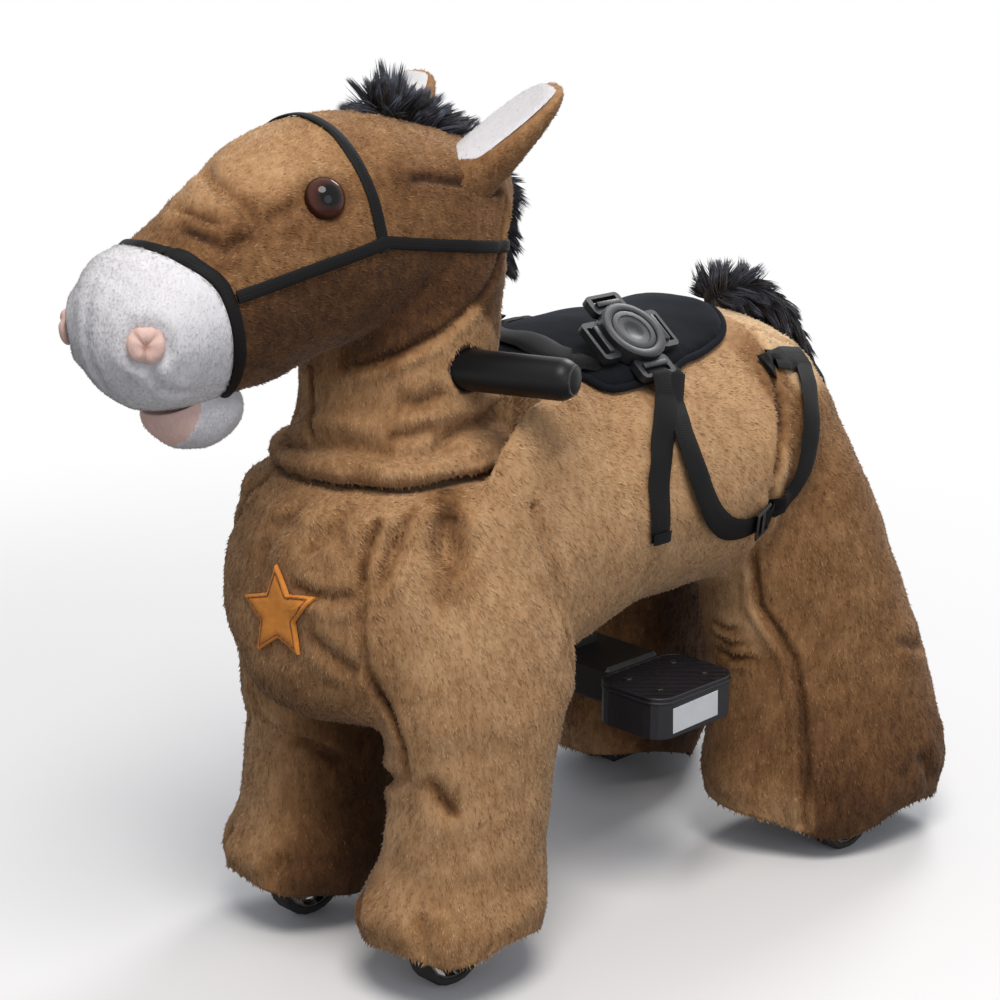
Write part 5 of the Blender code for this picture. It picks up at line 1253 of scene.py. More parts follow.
# ---- tail --------------------------------------------------------------------------------------
# A stuffed roll of long-pile black plush, sewn to the rump behind the saddle; its fibres stand in a
# tuft at the root and hang along it below.
black_pile = plush("black_long_pile_plush", [(0.0, "#060607"), (0.30, "#15161A"), (0.5, "#2B2D34"), (0.75, "#474B56"),
                                             (1.0, "#6A7080")], 0.12, cloud_mm=18, streak_mm=3)


def swept(bm, stations):
    """Skins a roll that lies in the middle plane: where it runs, how wide and how deep it is."""
    loops = []
    for i, (y, z, half_width, half_depth) in enumerate(stations):
        before, after = stations[max(i - 1, 0)], stations[min(i + 1, len(stations) - 1)]
        along = Vector((0, after[0] - before[0], after[1] - before[1])).normalized()
        across = along.cross(Vector((1, 0, 0)))
        loops.append([bm.verts.new(Vector((0, y, z)) + Vector((half_width * math.cos(turn), 0, 0))
                                   + across * (half_depth * math.sin(turn)))
                      for turn in (2 * math.pi * k / 20 for k in range(20))])
    bridge(bm, loops)


def long_hair(name, skin, count, length, width, rise, comb, droop, seed, weigh, material):
    """Long fibres drawn together in pointed locks: closed three-sided strands of three lengths each."""
    roots, out, _, luck = rooted(skin, count, seed, weigh)
    leaders = np.arange(0, count, 26)
    lead = leaders[[np.argmin(((roots[leaders] - at) ** 2).sum(axis=1)) for at in roots]]
    flow = unit(comb(roots))
    stand = rise(roots)[:, None]
    wave = np.stack([lumps(roots, 0.016, seed + k) for k in range(3)], axis=1)
    away = unit(out * stand + flow * (1 - stand) + 0.35 * wave + luck.normal(0, 0.14, (count, 3)))
    away = unit(0.4 * away + 0.6 * away[lead])
    across = unit(np.cross(away, luck.normal(0, 1, (count, 3))))
    beside = np.cross(away, across)
    long = length(roots)[:, None] * luck.uniform(0.75, 1.15, count)[:, None]
    long = long * luck.uniform(0.75, 1.2, count)[lead][:, None]
    thick = width * luck.uniform(0.7, 1.3, count)[:, None]
    bend = droop(roots)[:, None] * np.array([0, 0, -1.0]) + 0.2 * wave
    rows, at = [], roots - out * 0.001
    for step, (size, share) in enumerate(((1.0, 0.0), (0.9, 0.34), (0.62, 0.33), (0, 0.33))):
        at = at + unit(away + bend * step * 0.5) * long * share
        drawn = at + (0, 0.18, 0.38, 0.54)[step] * (at[lead] - at)
        if size:
            rows += [drawn + thick * size * (math.cos(turn) * across + math.sin(turn) * beside)
                     for turn in (0, 2 * math.pi / 3, 4 * math.pi / 3)]
    rows.append(drawn)
    points = np.stack(rows, axis=1).reshape(-1, 3)
    faces = [[0, 2, 1]]
    for row in (0, 3):
        for k in range(3):
            n = (k + 1) % 3
            faces += [[row + k, row + n, row + 3 + n], [row + k, row + 3 + n, row + 3 + k]]
    faces += [[6, 7, 9], [7, 8, 9], [8, 6, 9]]
    first = np.arange(count)[:, None, None] * 10
    thing = mesh_from(name, points, (first + np.array(faces)).reshape(-1, 3))
    # each lock's own random tone, darker at the roots as painted shade and paler towards the tips
    own = luck.normal(0, 0.5, count) + luck.normal(0, 0.9, count)[lead]
    set_values(thing, "shade", np.full(count * 10, 0.58))
    set_values(thing, "tone_and_root_shade", (own[:, None] + np.array([-1.2] * 3 + [-0.4] * 3 + [0.3] * 3 + [0.9])).ravel())
    thing.data.materials.append(material)
    return thing


bm = bmesh.new()
swept(bm, [(0.232, 0.450, 0.011, 0.010), (0.250, 0.455, 0.016, 0.012), (0.276, 0.450, 0.019, 0.014),
           (0.304, 0.432, 0.021, 0.015), (0.329, 0.404, 0.022, 0.015), (0.347, 0.366, 0.022, 0.015),
           (0.356, 0.320, 0.021, 0.014), (0.359, 0.270, 0.018, 0.012), (0.360, 0.225, 0.012, 0.009),
           (0.359, 0.200, 0.006, 0.005)])
tail = mesh_piece("tail_core", bm)
melt(tail, 0.0045, 3)
store_dye_and_shade(tail, np.full(len(tail.data.vertices), 0.15), 0.0)
tail.data.materials.append(black_pile)
tail.data.shade_smooth()


def tail_flow(points):
    """Down the roll's own line."""
    y, z = points[:, 1], points[:, 2]
    drop = step_up(y, 0.24, 0.35)
    return np.stack([np.zeros(len(points)), 1 - drop * 0.9, -0.15 - drop * 1.2], axis=1)


tail_hair = long_hair("tail_pile", tail, 8000,
                      lambda p: 0.020 + 0.004 * step_up(p[:, 1], 0.262, 0.235) + 0.008 * step_up(p[:, 2], 0.26, 0.20),
                      0.00056, lambda p: 0.42 + 0.32 * step_up(p[:, 1], 0.268, 0.238), tail_flow,
                      lambda p: 0.5 * step_up(p[:, 1], 0.25, 0.33), 31,
                      lambda where, facing: np.where(facing[:, 1] + facing[:, 2] > -0.5, 1.0, 0.5)
                      + 0.6 * (where[:, 1] < 0.26), black_pile)
for piece in (tail, tail_hair):
    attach(piece, "root")
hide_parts("tail")

# ---- head and neck cover -------------------------------------------------------------------------
# A second sewn cover of the same plush over a stuffed head; it turns with the handlebar. Its lower edge
# is gathered into a soft roll. The cheeks and the brow are sprayed darker brown.
bm = bmesh.new()
loft(bm, [(0, HEAD_AXIS_Y, 0.330, 0.090, 0.090), (0, HEAD_AXIS_Y, 0.378, 0.090, 0.090),
          (0, HEAD_AXIS_Y, 0.392, 0.095, 0.095), (0, HEAD_AXIS_Y, 0.402, 0.088, 0.088),
          (0, HEAD_AXIS_Y, 0.412, 0.077, 0.077), (0, HEAD_AXIS_Y, 0.424, 0.073, 0.073),
          (0, HEAD_AXIS_Y, 0.450, 0.071, 0.071), (0, HEAD_AXIS_Y + 0.004, 0.480, 0.0705, 0.072),
          (0, HEAD_AXIS_Y + 0.006, 0.520, 0.072, 0.075), (0, HEAD_AXIS_Y + 0.005, 0.560, 0.072, 0.077),
          (0, HEAD_AXIS_Y - 0.002, 0.595, 0.060, 0.067)], upright=True)
loft(bm, [(0, -0.030, 0.572, 0.032, 0.028), (0, -0.060, 0.562, 0.060, 0.049), (0, -0.110, 0.560, 0.072, 0.066),
          (0, -0.160, 0.557, 0.074, 0.078), (0, -0.205, 0.553, 0.071, 0.082), (0, -0.245, 0.541, 0.065, 0.080),
          (0, -0.285, 0.5245, 0.059, 0.0695), (0, -0.315, 0.514, 0.055, 0.058), (0, -0.375, 0.500, 0.046, 0.050)],
     upright=False)
head = mesh_piece("head_cover_plush", bm)
melt(head, 0.0035, 8)
first_crease = len(creases)
skin_tree = BVHTree.FromObject(head, bpy.context.evaluated_depsgraph_get())
SEAM_TOP = Vector((0, -0.322, 0.575))
SEAM_LOW = Vector((0, -0.294, 0.455))
seam_way = (SEAM_TOP - SEAM_LOW).normalized()
seam_back = Vector((0, seam_way.z, -seam_way.y))
cut(head, ((0, 0, 0.3835), (0, 0, 1)), (SEAM_TOP, seam_back))


def slide(points):
    """The nose seam is drawn forward over the bridge of the nose."""
    off_seam = (points - np.array(SEAM_TOP)) @ np.array(seam_back)
    pull = np.clip(1 - (points[:, 0] / 0.054) ** 2, 0, 1) * step_up(points[:, 2], 0.515, 0.562)
    pull *= np.exp(-(off_seam / 0.035) ** 2)
    return points + pull[:, None] * np.array([0, -0.019, -0.011])


put_back(head, slide(coordinates(head)))
points, facing = coordinates(head), outward(head)
push = np.zeros(len(points))
# wrinkles across the nose and from the brow to the eye
for route, width, depth, puff, mirror, ends in (
        ([(-0.026, -0.262, 0.606), (-0.002, -0.277, 0.599), (0.018, -0.280, 0.592), (0.036, -0.276, 0.580),
          (0.046, -0.276, 0.566)], 0.0046, 0.0052, 0.5, False, 0.2),
        ([(0.046, -0.276, 0.566), (0.041, -0.290, 0.562), (0.036, -0.302, 0.557)], 0.0042, 0.0046, 0.5, False, 0.3),
        ([(-0.016, -0.298, 0.582), (0.004, -0.301, 0.580), (0.022, -0.298, 0.576), (0.036, -0.290, 0.570)],
         0.0040, 0.0036, 0.5, False, 0.3),
        ([(0.012, -0.312, 0.569), (0.028, -0.306, 0.566), (0.040, -0.296, 0.558)], 0.0036, 0.0030, 0.5, False, 0.3),
        ([(0.044, -0.272, 0.574), (0.052, -0.256, 0.583), (0.056, -0.244, 0.592)], 0.0040, 0.0036, 0.5, False, 0.3)):
    push += press(points, route, width, depth, puff, mirror, ends)
# the eye sockets
eye_at = np.array([0.0575, -0.227, 0.588])
for side in (1, -1):
    away = np.linalg.norm(points - eye_at * (side, 1, 1), axis=1)
    push -= 0.0050 * np.exp(-(away / 0.017) ** 2)
    push += 0.0016 * np.exp(-((away - 0.026) / 0.008) ** 2)
# the neck roll: a deep gather above it, rising towards the sides, and soft drapes in the neck
angle = np.arctan2(points[:, 0], -(points[:, 1] - HEAD_AXIS_Y))
roll_top = 0.4050 + 0.0025 * np.sin(2 * angle + 0.4) + 0.0015 * np.sin(5 * angle)
roll_top += 0.016 * step_up(np.abs(angle), 0.9, 1.9)
push -= 0.0075 * np.exp(-((points[:, 2] - roll_top) / 0.0040) ** 2)
push -= (0.0015 + 0.0060 * step_up(np.abs(angle), 0.8, 1.4)) * step_up(points[:, 2], 0.430, 0.415)
push += 0.0020 * np.exp(-((points[:, 2] - roll_top + 0.011) / 0.006) ** 2)
push += 0.0050 * np.exp(-((points[:, 2] - roll_top - 0.013) / 0.007) ** 2) * (0.6 + 0.5 * np.sin(3 * angle + 1))
push += np.where(points[:, 2] < roll_top, 0.0008 * np.sin(15 * angle + 3 * np.sin(3 * angle)), 0.0)
drape = step_up(points[:, 2], 0.50, 0.43) * step_up(points[:, 2], 0.405, 0.435)
push += drape * 0.0022 * np.sin(5 * angle + 1.2 + 14 * (points[:, 2] - 0.43)) * (0.6 + 0.4 * np.sin(2 * angle + 1))
for route, width, depth, puff, mirror, ends in (
        ([(-0.013, -0.187, 0.462), (-0.010, -0.190, 0.440), (-0.006, -0.192, 0.420), (-0.004, -0.194, 0.406)],
         0.0030, 0.0034, 0.4, False, 0.1),
        ([(0.055, -0.172, 0.436), (0.070, -0.152, 0.438), (0.078, -0.130, 0.446)], 0.0060, 0.0045, 0.5, False, 0.3),
        ([(0.050, -0.178, 0.418), (0.066, -0.162, 0.418), (0.078, -0.140, 0.424)], 0.0050, 0.0040, 0.5, False, 0.3)):
    push += press(points, route, width, depth, puff, mirror, ends)
# the cheek panel's seam and the seam along the middle of the forehead
push += press(points, [(0.058, -0.064, 0.574), (0.069, -0.066, 0.552), (0.074, -0.072, 0.535), (0.074, -0.083, 0.519),
                       (0.076, -0.106, 0.503), (0.071, -0.134, 0.485), (0.060, -0.154, 0.477), (0.040, -0.174, 0.466),
                       (0.012, -0.188, 0.458)], 0.0034, 0.0042, 0.4, ends=0.06)
push += press(points, [(0.067, -0.165, 0.594), (0.066, -0.145, 0.594), (0.066, -0.120, 0.588), (0.063, -0.090, 0.580),
                       (0.058, -0.066, 0.572)], 0.0032, 0.0030, 0.4, ends=0.12)
push += 0.0022 * lumps(points, 0.050, 5) + 0.0010 * lumps(points, 0.020, 6)
points += facing * push[:, None]
put_back(head, points)
head.data.shade_smooth()
head_creases = creases[first_crease:]


def head_shade(points):
    """Dark sprayed cheeks and brow, a paler blaze along the nose, mid tan on the neck, and painted shade in a nose
    wrinkle, along the lower edge of the neck and in the seams and folds.
    """
    x, y, z = points[:, 0], points[:, 1], points[:, 2]
    wide = np.abs(x)
    shade = np.full(len(points), 0.47)
    jaw_line = 0.503 + np.where(y < -0.106, (y + 0.106) * 0.62, (y + 0.106) * -0.9)
    face = step_up(y, -0.060, -0.074) * step_up(z - np.maximum(jaw_line, 0.448), -0.003, 0.005)
    blaze = step_up(z, 0.566 + 0.30 * wide, 0.590 + 0.30 * wide) * face
    shade -= 0.08 * face
    shade += 0.09 * blaze * step_up(y, -0.180, -0.240)
    shade += 0.06 * blaze
    tape_z = 0.530 + (y + 0.308) * 0.22
    tape_z = np.where(y > -0.190, 0.556 - (y + 0.190) * 0.15, tape_z)
    cheek = step_up(tape_z - z, -0.002, 0.008) * face * step_up(wide, 0.004, 0.030)
    shade -= 0.20 * cheek
    brow = step_up(z - tape_z, -0.002, 0.010) * step_up(y, -0.215, -0.180) * face * step_up(0.645 - z, 0.0, 0.03)
    shade -= 0.07 * brow
    away, _ = from_route(np.stack([wide, y, z], axis=1),
                         [(0.064, -0.165, 0.598), (0.063, -0.120, 0.592), (0.055, -0.070, 0.578)])
    shade -= 0.09 * np.exp(-(away / 0.012) ** 2)
    away = np.linalg.norm(np.stack([wide, y, z], axis=1) - eye_at, axis=1)
    shade -= 0.10 * np.exp(-((away - 0.004) / 0.020) ** 2)
    # painted shade in the wrinkle beside the nose
    away, _ = from_route(points, [(0.046, -0.276, 0.566), (0.038, -0.298, 0.558), (0.020, -0.310, 0.566)])
    shade -= 0.10 * np.exp(-(away / 0.012) ** 2)
    side_face = step_up(z - tape_z, -0.002, 0.008) * step_up(y, -0.20, -0.235) * (1 - blaze)
    shade -= 0.03 * side_face
    # painted shade along the lower edge, where the neck tucks into the body; the sides of the neck below the face are a
    # little paler
    shade -= 0.10 * step_up(z, 0.391, 0.384) - 0.05 * step_up(wide, 0.05, 0.08) * (1 - face)
    # painted shade in the seams and folds
    return shade - 0.30 * creased(points, head_creases)


store_dye_and_shade(head, head_shade(coordinates(head)), -0.35)
head.data.materials.append(tan_plush)
GRIP_SWEEP = math.radians(20)
grip_root_at = np.array([0.062 + 0.006 * math.cos(GRIP_SWEEP), -0.115 + 0.006 * math.sin(GRIP_SWEEP), 0.457])


def head_comb(points):
    """Back from the nose along the head, down the neck."""
    neck = step_up(points[:, 2], 0.53, 0.47) * step_up(points[:, 1], -0.22, -0.18)
    return np.stack([np.zeros(len(points)), 1.0 - 0.8 * neck, -0.12 - 0.9 * neck], axis=1)


def clear_of(where, spot, reach):
    """1 where a place lies further than reach from a spot and from its mirror image, else 0."""
    keep = np.ones(len(where))
    for side in (1, -1):
        keep *= np.linalg.norm(where - spot * (side, 1, 1), axis=1) > reach
    return keep


head_pieces = [head]
for label, side, seed in (("left", 1, 41), ("right", -1, 42)):
    head_pieces.append(pile("head_pile_" + label, head, 45000, 0.0030, 0.00062, 0.85, head_comb, seed,
                            lambda where, facing: (where[:, 0] * side > 0) * clear_of(where, grip_root_at, 0.018),
                            tan_plush, dye_and_shade=head_shade, routes=head_creases))
head_tree = BVHTree.FromObject(head, bpy.context.evaluated_depsgraph_get())
modify(head, "DECIMATE", ratio=0.6)
hollow(head, 0.004)
for side in (1, -1):
    # the sewn hole that each end of the handlebar comes out of
    way = Vector((side * math.cos(GRIP_SWEEP), math.sin(GRIP_SWEEP), 0))
    bpy.ops.mesh.primitive_cylinder_add(vertices=32, radius=0.0156, depth=0.050)
    hole = bpy.context.active_object
    hole.matrix_world = (Matrix.Translation(Vector(grip_root_at * (side, 1, 1)) + way * 0.006)
                         @ way.to_track_quat("Z", "Y").to_matrix().to_4x4())
    modify(head, "BOOLEAN", object=hole, operation="DIFFERENCE", solver="EXACT")
    bpy.data.objects.remove(hole)
for piece in head_pieces:
    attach(piece, "steering")
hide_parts("head_cover")

# ---- muzzle, lower jaw and nostrils --------------------------------------------------------------
# Stuffed white plush sewn into the front of the head: a round muzzle with two pinched pink nostril pads,
# and a small hanging jaw whose inside and tongue are pink.
white_pile = plush("white_short_pile_plush", [(0.0, "#9E9B9D"), (0.3, "#C4C2C5"), (0.5, "#DAD9DC"), (0.8, "#EBEAED"),
                                              (1.0, "#F4F4F6")], 0.06, cloud_mm=20, streak_mm=4)
MUZZLE_AT = Vector((0, -0.331, 0.509))
MUZZLE_ROOT = Vector((0, -0.308, 0.515))
muzzle_up = Vector((0, -0.028, 0.120)).normalized()
muzzle_back = Vector((0, muzzle_up.z, -muzzle_up.y))
bm = bmesh.new()
rows = []
for forward, half_width, half_height in ((-0.012, 0.0560, 0.0605), (0.000, 0.0570, 0.0612), (0.012, 0.0578, 0.0600),
                                         (0.026, 0.0572, 0.0570), (0.040, 0.0530, 0.0520), (0.053, 0.0445, 0.0440),
                                         (0.063, 0.0330, 0.0330), (0.070, 0.0190, 0.0190), (0.073, 0.0070, 0.0070)):
    middle = MUZZLE_ROOT - muzzle_back * forward + Vector((0, 0, -0.0015 * forward / 0.07))
    rows.append([bm.verts.new(middle + Vector((half_width * math.cos(turn), 0, 0))
                              + muzzle_up * (half_height * math.sin(turn)))
                 for turn in (2 * math.pi * k / 48 for k in range(48))])
bridge(bm, rows)
muzzle = mesh_piece("muzzle_plush", bm)
melt(muzzle, 0.0028, 5)
skin_tree = BVHTree.FromObject(muzzle, bpy.context.evaluated_depsgraph_get())
points, facing = coordinates(muzzle), outward(muzzle)
NOSTRIL = np.array([0.0440, -0.3650, 0.5080])
push = np.zeros(len(points))
for side in (1, -1):
    flip = (side, 1, 1)
    away = np.linalg.norm(points - NOSTRIL * flip, axis=1)
    push -= 0.0035 * np.exp(-(away / 0.013) ** 2)
    push += 0.0018 * np.exp(-((away - 0.021) / 0.007) ** 2)
    under_lip = np.array([(0.0430, -0.3650, 0.500), (0.0425, -0.3610, 0.488), (0.0385, -0.3560, 0.477)])
    push += press(points, under_lip * flip, 0.0038, 0.0024, 0.5, False, 0.3, dark=0.2)
    beside_chin = np.array([(0.0385, -0.3560, 0.477), (0.0440, -0.3420, 0.470), (0.0460, -0.3260, 0.468)])
    push += press(points, beside_chin * flip, 0.0036, 0.0015, 0.5, False, 0.3, dark=0.2)
push += press(points, [(0, -0.362, 0.545), (0, -0.3780, 0.520), (0, -0.3800, 0.495), (0, -0.366, 0.468)],
              0.0042, 0.0012, 0.4, False, 0.2, dark=0.1)
push += 0.0018 * lumps(points, 0.034, 7)
points += facing * push[:, None]
put_back(muzzle, points)
bm = bmesh.new()
bm.from_mesh(muzzle.data)
bmesh.ops.bisect_plane(bm, geom=bm.verts[:] + bm.edges[:] + bm.faces[:], plane_co=SEAM_TOP - seam_back * 0.0006,
                       plane_no=seam_back, clear_outer=True)
bmesh.ops.holes_fill(bm, edges=[edge for edge in bm.edges if edge.is_boundary])
bm.to_mesh(muzzle.data)
bm.free()
put_back(muzzle, slide(coordinates(muzzle)))
muzzle.data.shade_smooth()


def soft_white(points, low):
    """White pile, painted a little greyer below as the shade on its underside."""
    return 0.61 + 0.10 * step_up(points[:, 2], low, low + 0.05)


store_dye_and_shade(muzzle, soft_white(coordinates(muzzle), 0.475), -0.2)
muzzle.data.materials.append(white_pile)


def muzzle_comb(points):
    """Away from a point in front of the nose."""
    return points - np.array(MUZZLE_AT) + np.array([0, -0.055, -0.02])


muzzle_pile = pile("muzzle_pile", muzzle, 38000, 0.0019, 0.00042, 0.86, muzzle_comb, 51,
                   lambda where, facing: (facing @ np.array(seam_back) < 0.85) * clear_of(where, NOSTRIL, 0.0120),
                   white_pile)

JAW_AT = Vector((0, -0.299, 0.449))
JAW_R = Vector((0.0300, 0.0360, 0.0265))
bpy.ops.mesh.primitive_uv_sphere_add(segments=48, ring_count=32, radius=1)
jaw = bpy.context.active_object
jaw.name = "jaw_plush"
jaw.matrix_world = Matrix.Translation(JAW_AT) @ Matrix.Diagonal((*JAW_R, 1))
bpy.ops.object.transform_apply(location=True, rotation=True, scale=True)
modify(jaw, "REMESH", mode="VOXEL", voxel_size=0.0022)
modify(jaw, "SMOOTH", iterations=2, factor=0.5)
points, facing = coordinates(jaw), outward(jaw)
points += facing * (0.0012 * lumps(points, 0.018, 8))[:, None]
MUZZLE_MIDDLE, MUZZLE_R = np.array([0, -0.331, 0.510]), np.array([0.0610, 0.0575, 0.0590])
# the mouth closes on it: it keeps clear of the muzzle above
inside = (points - MUZZLE_MIDDLE) / MUZZLE_R
deep = np.linalg.norm(inside, axis=1)
caught = deep < 1
points[caught] = MUZZLE_MIDDLE + inside[caught] / np.maximum(deep[caught], 1e-6)[:, None] * MUZZLE_R
put_back(jaw, points)
jaw.data.shade_smooth()
store_dye_and_shade(jaw, soft_white(coordinates(jaw), 0.430), -0.2)

# Pink cropped plush: a close pile, almost smooth, in a dusty skin pink.
pink_pile = plush("pink_cropped_plush", [(0.0, "#8A5F56"), (0.35, "#C2988C"), (0.55, "#DDB7AB"), (0.8, "#ECCFC6"),
                                         (1.0, "#F4DDD6")], 0.10, cloud_mm=12, streak_mm=2)
jaw.data.materials.append(white_pile)
jaw.data.materials.append(pink_pile)


def pink_side(at):
    """The inside of the lip and the tongue fill the front of the jaw."""
    way = Vector((along / half for along, half in zip(Vector(at) - JAW_AT, JAW_R))).normalized()
    return way.dot(Vector((0, -0.97, 0.25))) > 0.40


for face in jaw.data.polygons:
    if pink_side(face.center):
        face.material_index = 1
jaw_pile = pile("jaw_pile", jaw, 14000, 0.0022, 0.00050, 0.80,
                lambda p: p - np.array(JAW_AT) + np.array([0, 0.03, -0.02]), 52,
                lambda where, facing: np.array([0.02 if pink_side(w) else 1.0 for w in where])
                * (np.linalg.norm((where - MUZZLE_MIDDLE) / (MUZZLE_R + 0.002), axis=1) > 1), white_pile)

nostrils = []
for tag, side in (("l", 1), ("r", -1)):
    flip = np.array([side, 1, 1])
    out = Vector(unit((NOSTRIL - np.array(MUZZLE_AT))[None] / np.array([[0.055, 0.055, 0.054]]))[0] * flip)
    up = Vector((0, 0, 1))
    right = up.cross(out).normalized()
    up = out.cross(right).normalized()
    bm = bmesh.new()
    rows = []
    for share, lift in ((0.9, -0.0030), (1.0, -0.0012), (0.94, 0.0006), (0.78, 0.0016), (0.55, 0.0016),
                        (0.34, 0.0008), (0.16, -0.0006)):
        row = []
        for k in range(40):
            turn = 2 * math.pi * k / 40
            reach = 1 + 0.07 * math.cos(2 * turn)
            reach -= 0.10 * math.exp(-((turn - 4.4) / 0.35) ** 2)
            reach -= 0.08 * math.exp(-((turn - 1.6) / 0.3) ** 2)
            off_lobes = [(turn - lobe + math.pi) % (2 * math.pi) - math.pi for lobe in (0.6, 2.4, 4.5)]
            pinch = 0.0022 * sum(math.exp(-(off / 0.22) ** 2) for off in off_lobes) * min(1, 1.4 * share)
            at = Vector(NOSTRIL * flip) + right * (0.0118 * share * reach * math.cos(turn))
            at = at + up * (0.0140 * share * reach * math.sin(turn))
            row.append(bm.verts.new(at + out * (lift + 0.0004 - pinch - 0.0030 * (share ** 2 - 0.5))))
        rows.append(row)
    bridge(bm, rows)
    pad = mesh_piece("nostril_pad_" + tag, bm)
    modify(pad, "SUBSURF", levels=1, render_levels=1)
    points = coordinates(pad)
    from_hole = np.linalg.norm(points - NOSTRIL * flip, axis=1)
    store_dye_and_shade(pad, np.full(len(points), 0.62) - 0.5 * np.exp(-(from_hole / 0.0030) ** 2), 0.0)
    pad.data.shade_smooth()
    pad.data.materials.append(pink_pile)
    nostrils.append(pad)
for piece in (muzzle, muzzle_pile, jaw, jaw_pile, *nostrils):
    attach(piece, "steering")
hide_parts("muzzle")
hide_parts("jaw")

# ---- ears ----------------------------------------------------------------------------------------
# Leaf-shaped ears of tan plush lined with white, sewn in a cupped fold so that they stand up and out.
EAR_ROOT = Vector((0.046, -0.102, 0.585))
EAR_TIP = Vector((0.072, -0.028, 0.647))
EAR_FACING = Vector((-0.12, -0.58, 0.78))
ear_long = (EAR_TIP - EAR_ROOT).length
# along the ear: share of its length, half width, half thickness and depth of the cup
EAR_ROWS = [(-0.24, 0.0160, 0.0160, 0.000), (-0.05, 0.0205, 0.0180, 0.001), (0.18, 0.0245, 0.0165, 0.003),
            (0.40, 0.0268, 0.0140, 0.005), (0.60, 0.0272, 0.0112, 0.005), (0.78, 0.0250, 0.0086, 0.004),
            (0.91, 0.0200, 0.0060, 0.002), (0.98, 0.0132, 0.0038, 0.001), (1.01, 0.0060, 0.0020, 0.0)]
# the lining starts narrower, stays inside the edge and ends short of the tip
LINING_ROWS = [(-0.06, 0.0035, 0.0160, 0.001), (0.03, 0.0095, 0.0180, 0.002)]
LINING_ROWS += [(min(share, 0.955), half * 0.80, thick, cup) for share, half, thick, cup in EAR_ROWS[2:]]
ear_pieces = []
for tag, side in (("l", 1), ("r", -1)):
    flip = Vector((side, 1, 1))
    lengthwise = ((EAR_TIP - EAR_ROOT) * flip).normalized()
    sideways = (EAR_FACING * flip).cross(lengthwise).normalized()
    front = lengthwise.cross(sideways).normalized()
    if front.dot(EAR_FACING * flip) < 0:
        front = -front
    for part, material in (("outer", tan_plush), ("lining", white_pile)):
        lining = part == "lining"
        bm = bmesh.new()
        rows = []
        for share, half, thick, cup in LINING_ROWS if lining else EAR_ROWS:
            row = []
            for k in range(32):
                turn = 2 * math.pi * k / 32
                wide = half * math.cos(turn)
                dish = cup * (1 - (wide / half) ** 2)
                if lining:
                    inset = math.sqrt(max(0.0, 1 - (0.80 * wide / half) ** 2))
                    deep = -dish + 0.0022 * math.sin(turn) + thick * 0.86 * inset + 0.0006
                else:
                    deep = thick * math.sin(turn) - dish if math.sin(turn) > 0 else 1.5 * thick * math.sin(turn)
                row.append(bm.verts.new(EAR_ROOT * flip + lengthwise * (share * ear_long) + sideways * wide
                                        + front * deep))
            rows.append(row)
        bridge(bm, rows)
        ear = mesh_piece("ear_" + part + "_" + tag, bm)
        modify(ear, "SUBSURF", levels=2, render_levels=2)
        points = coordinates(ear)
        height = (points - np.array(EAR_ROOT * flip)) @ np.array(lengthwise) / ear_long
        store_dye_and_shade(ear, 0.66 - 0.05 * height if lining else 0.34 + 0.12 * height, -0.25)
        ear.data.shade_smooth()
        ear.data.materials.append(material)
        fur = pile("ear_" + part + "_pile_" + tag, ear, 6000 if lining else 10000, 0.0020 if lining else 0.0028,
                   0.00055, 0.82, lambda p: np.tile(np.array(lengthwise), (len(p), 1)), 60 + side,
                   lambda where, facing: np.where(facing @ np.array(front) > -0.2, 1.0, 0.02) if lining
                   else np.where(facing @ np.array(front) > 0.75, 0.1, 1.0), material)
        ear_pieces += [ear, fur]
        if not lining:
            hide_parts("ear_" + tag)
for piece in ear_pieces:
    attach(piece, "steering")

# ---- eyes ----------------------------------------------------------------------------------------
# Domed safety eyes in clear resin over a painted disc: black pupil, dark brown iris, thin brown rim.
EYE_AT = Vector((0.0575, -0.227, 0.588))
EYE_FACING = Vector((0.90, -0.28, 0.33))
resin = new_material("glossy_brown_eye_resin")
where = add_node(resin, "Attribute", attribute_name="from_middle")
ramp = add_node(resin, "ValToRGB", None, {"Fac": where.outputs["Fac"]})
band = ramp.color_ramp.elements
for _ in range(3):
    band.new(0.5)
for point, (place, colour) in zip(band, ((0.0, "#050405"), (0.44, "#080506"), (0.52, "#2C1410"), (0.80, "#54291C"),
                                         (1.0, "#2A1510"))):
    point.position = place
    point.color = linear(colour)
texture = add_node(resin, "TexCoord")
fleck = add_node(resin, "TexNoise", {"Scale": 1000 / 1.5, "Detail": 3.0}, {"Vector": texture.outputs["Object"]})
tint = add_node(resin, "MixRGB", {"Fac": 0.25}, {"Color1": ramp.outputs["Color"], "Color2": fleck.outputs["Color"]},
                blend_type="MULTIPLY")
shader = add_node(resin, "BsdfPrincipled", {"Roughness": 0.07, "Specular IOR Level": 0.28, "IOR": 1.45},
                  {"Base Color": tint.outputs["Color"]})
add_node(resin, "OutputMaterial", None, {"Surface": shader.outputs[0]})
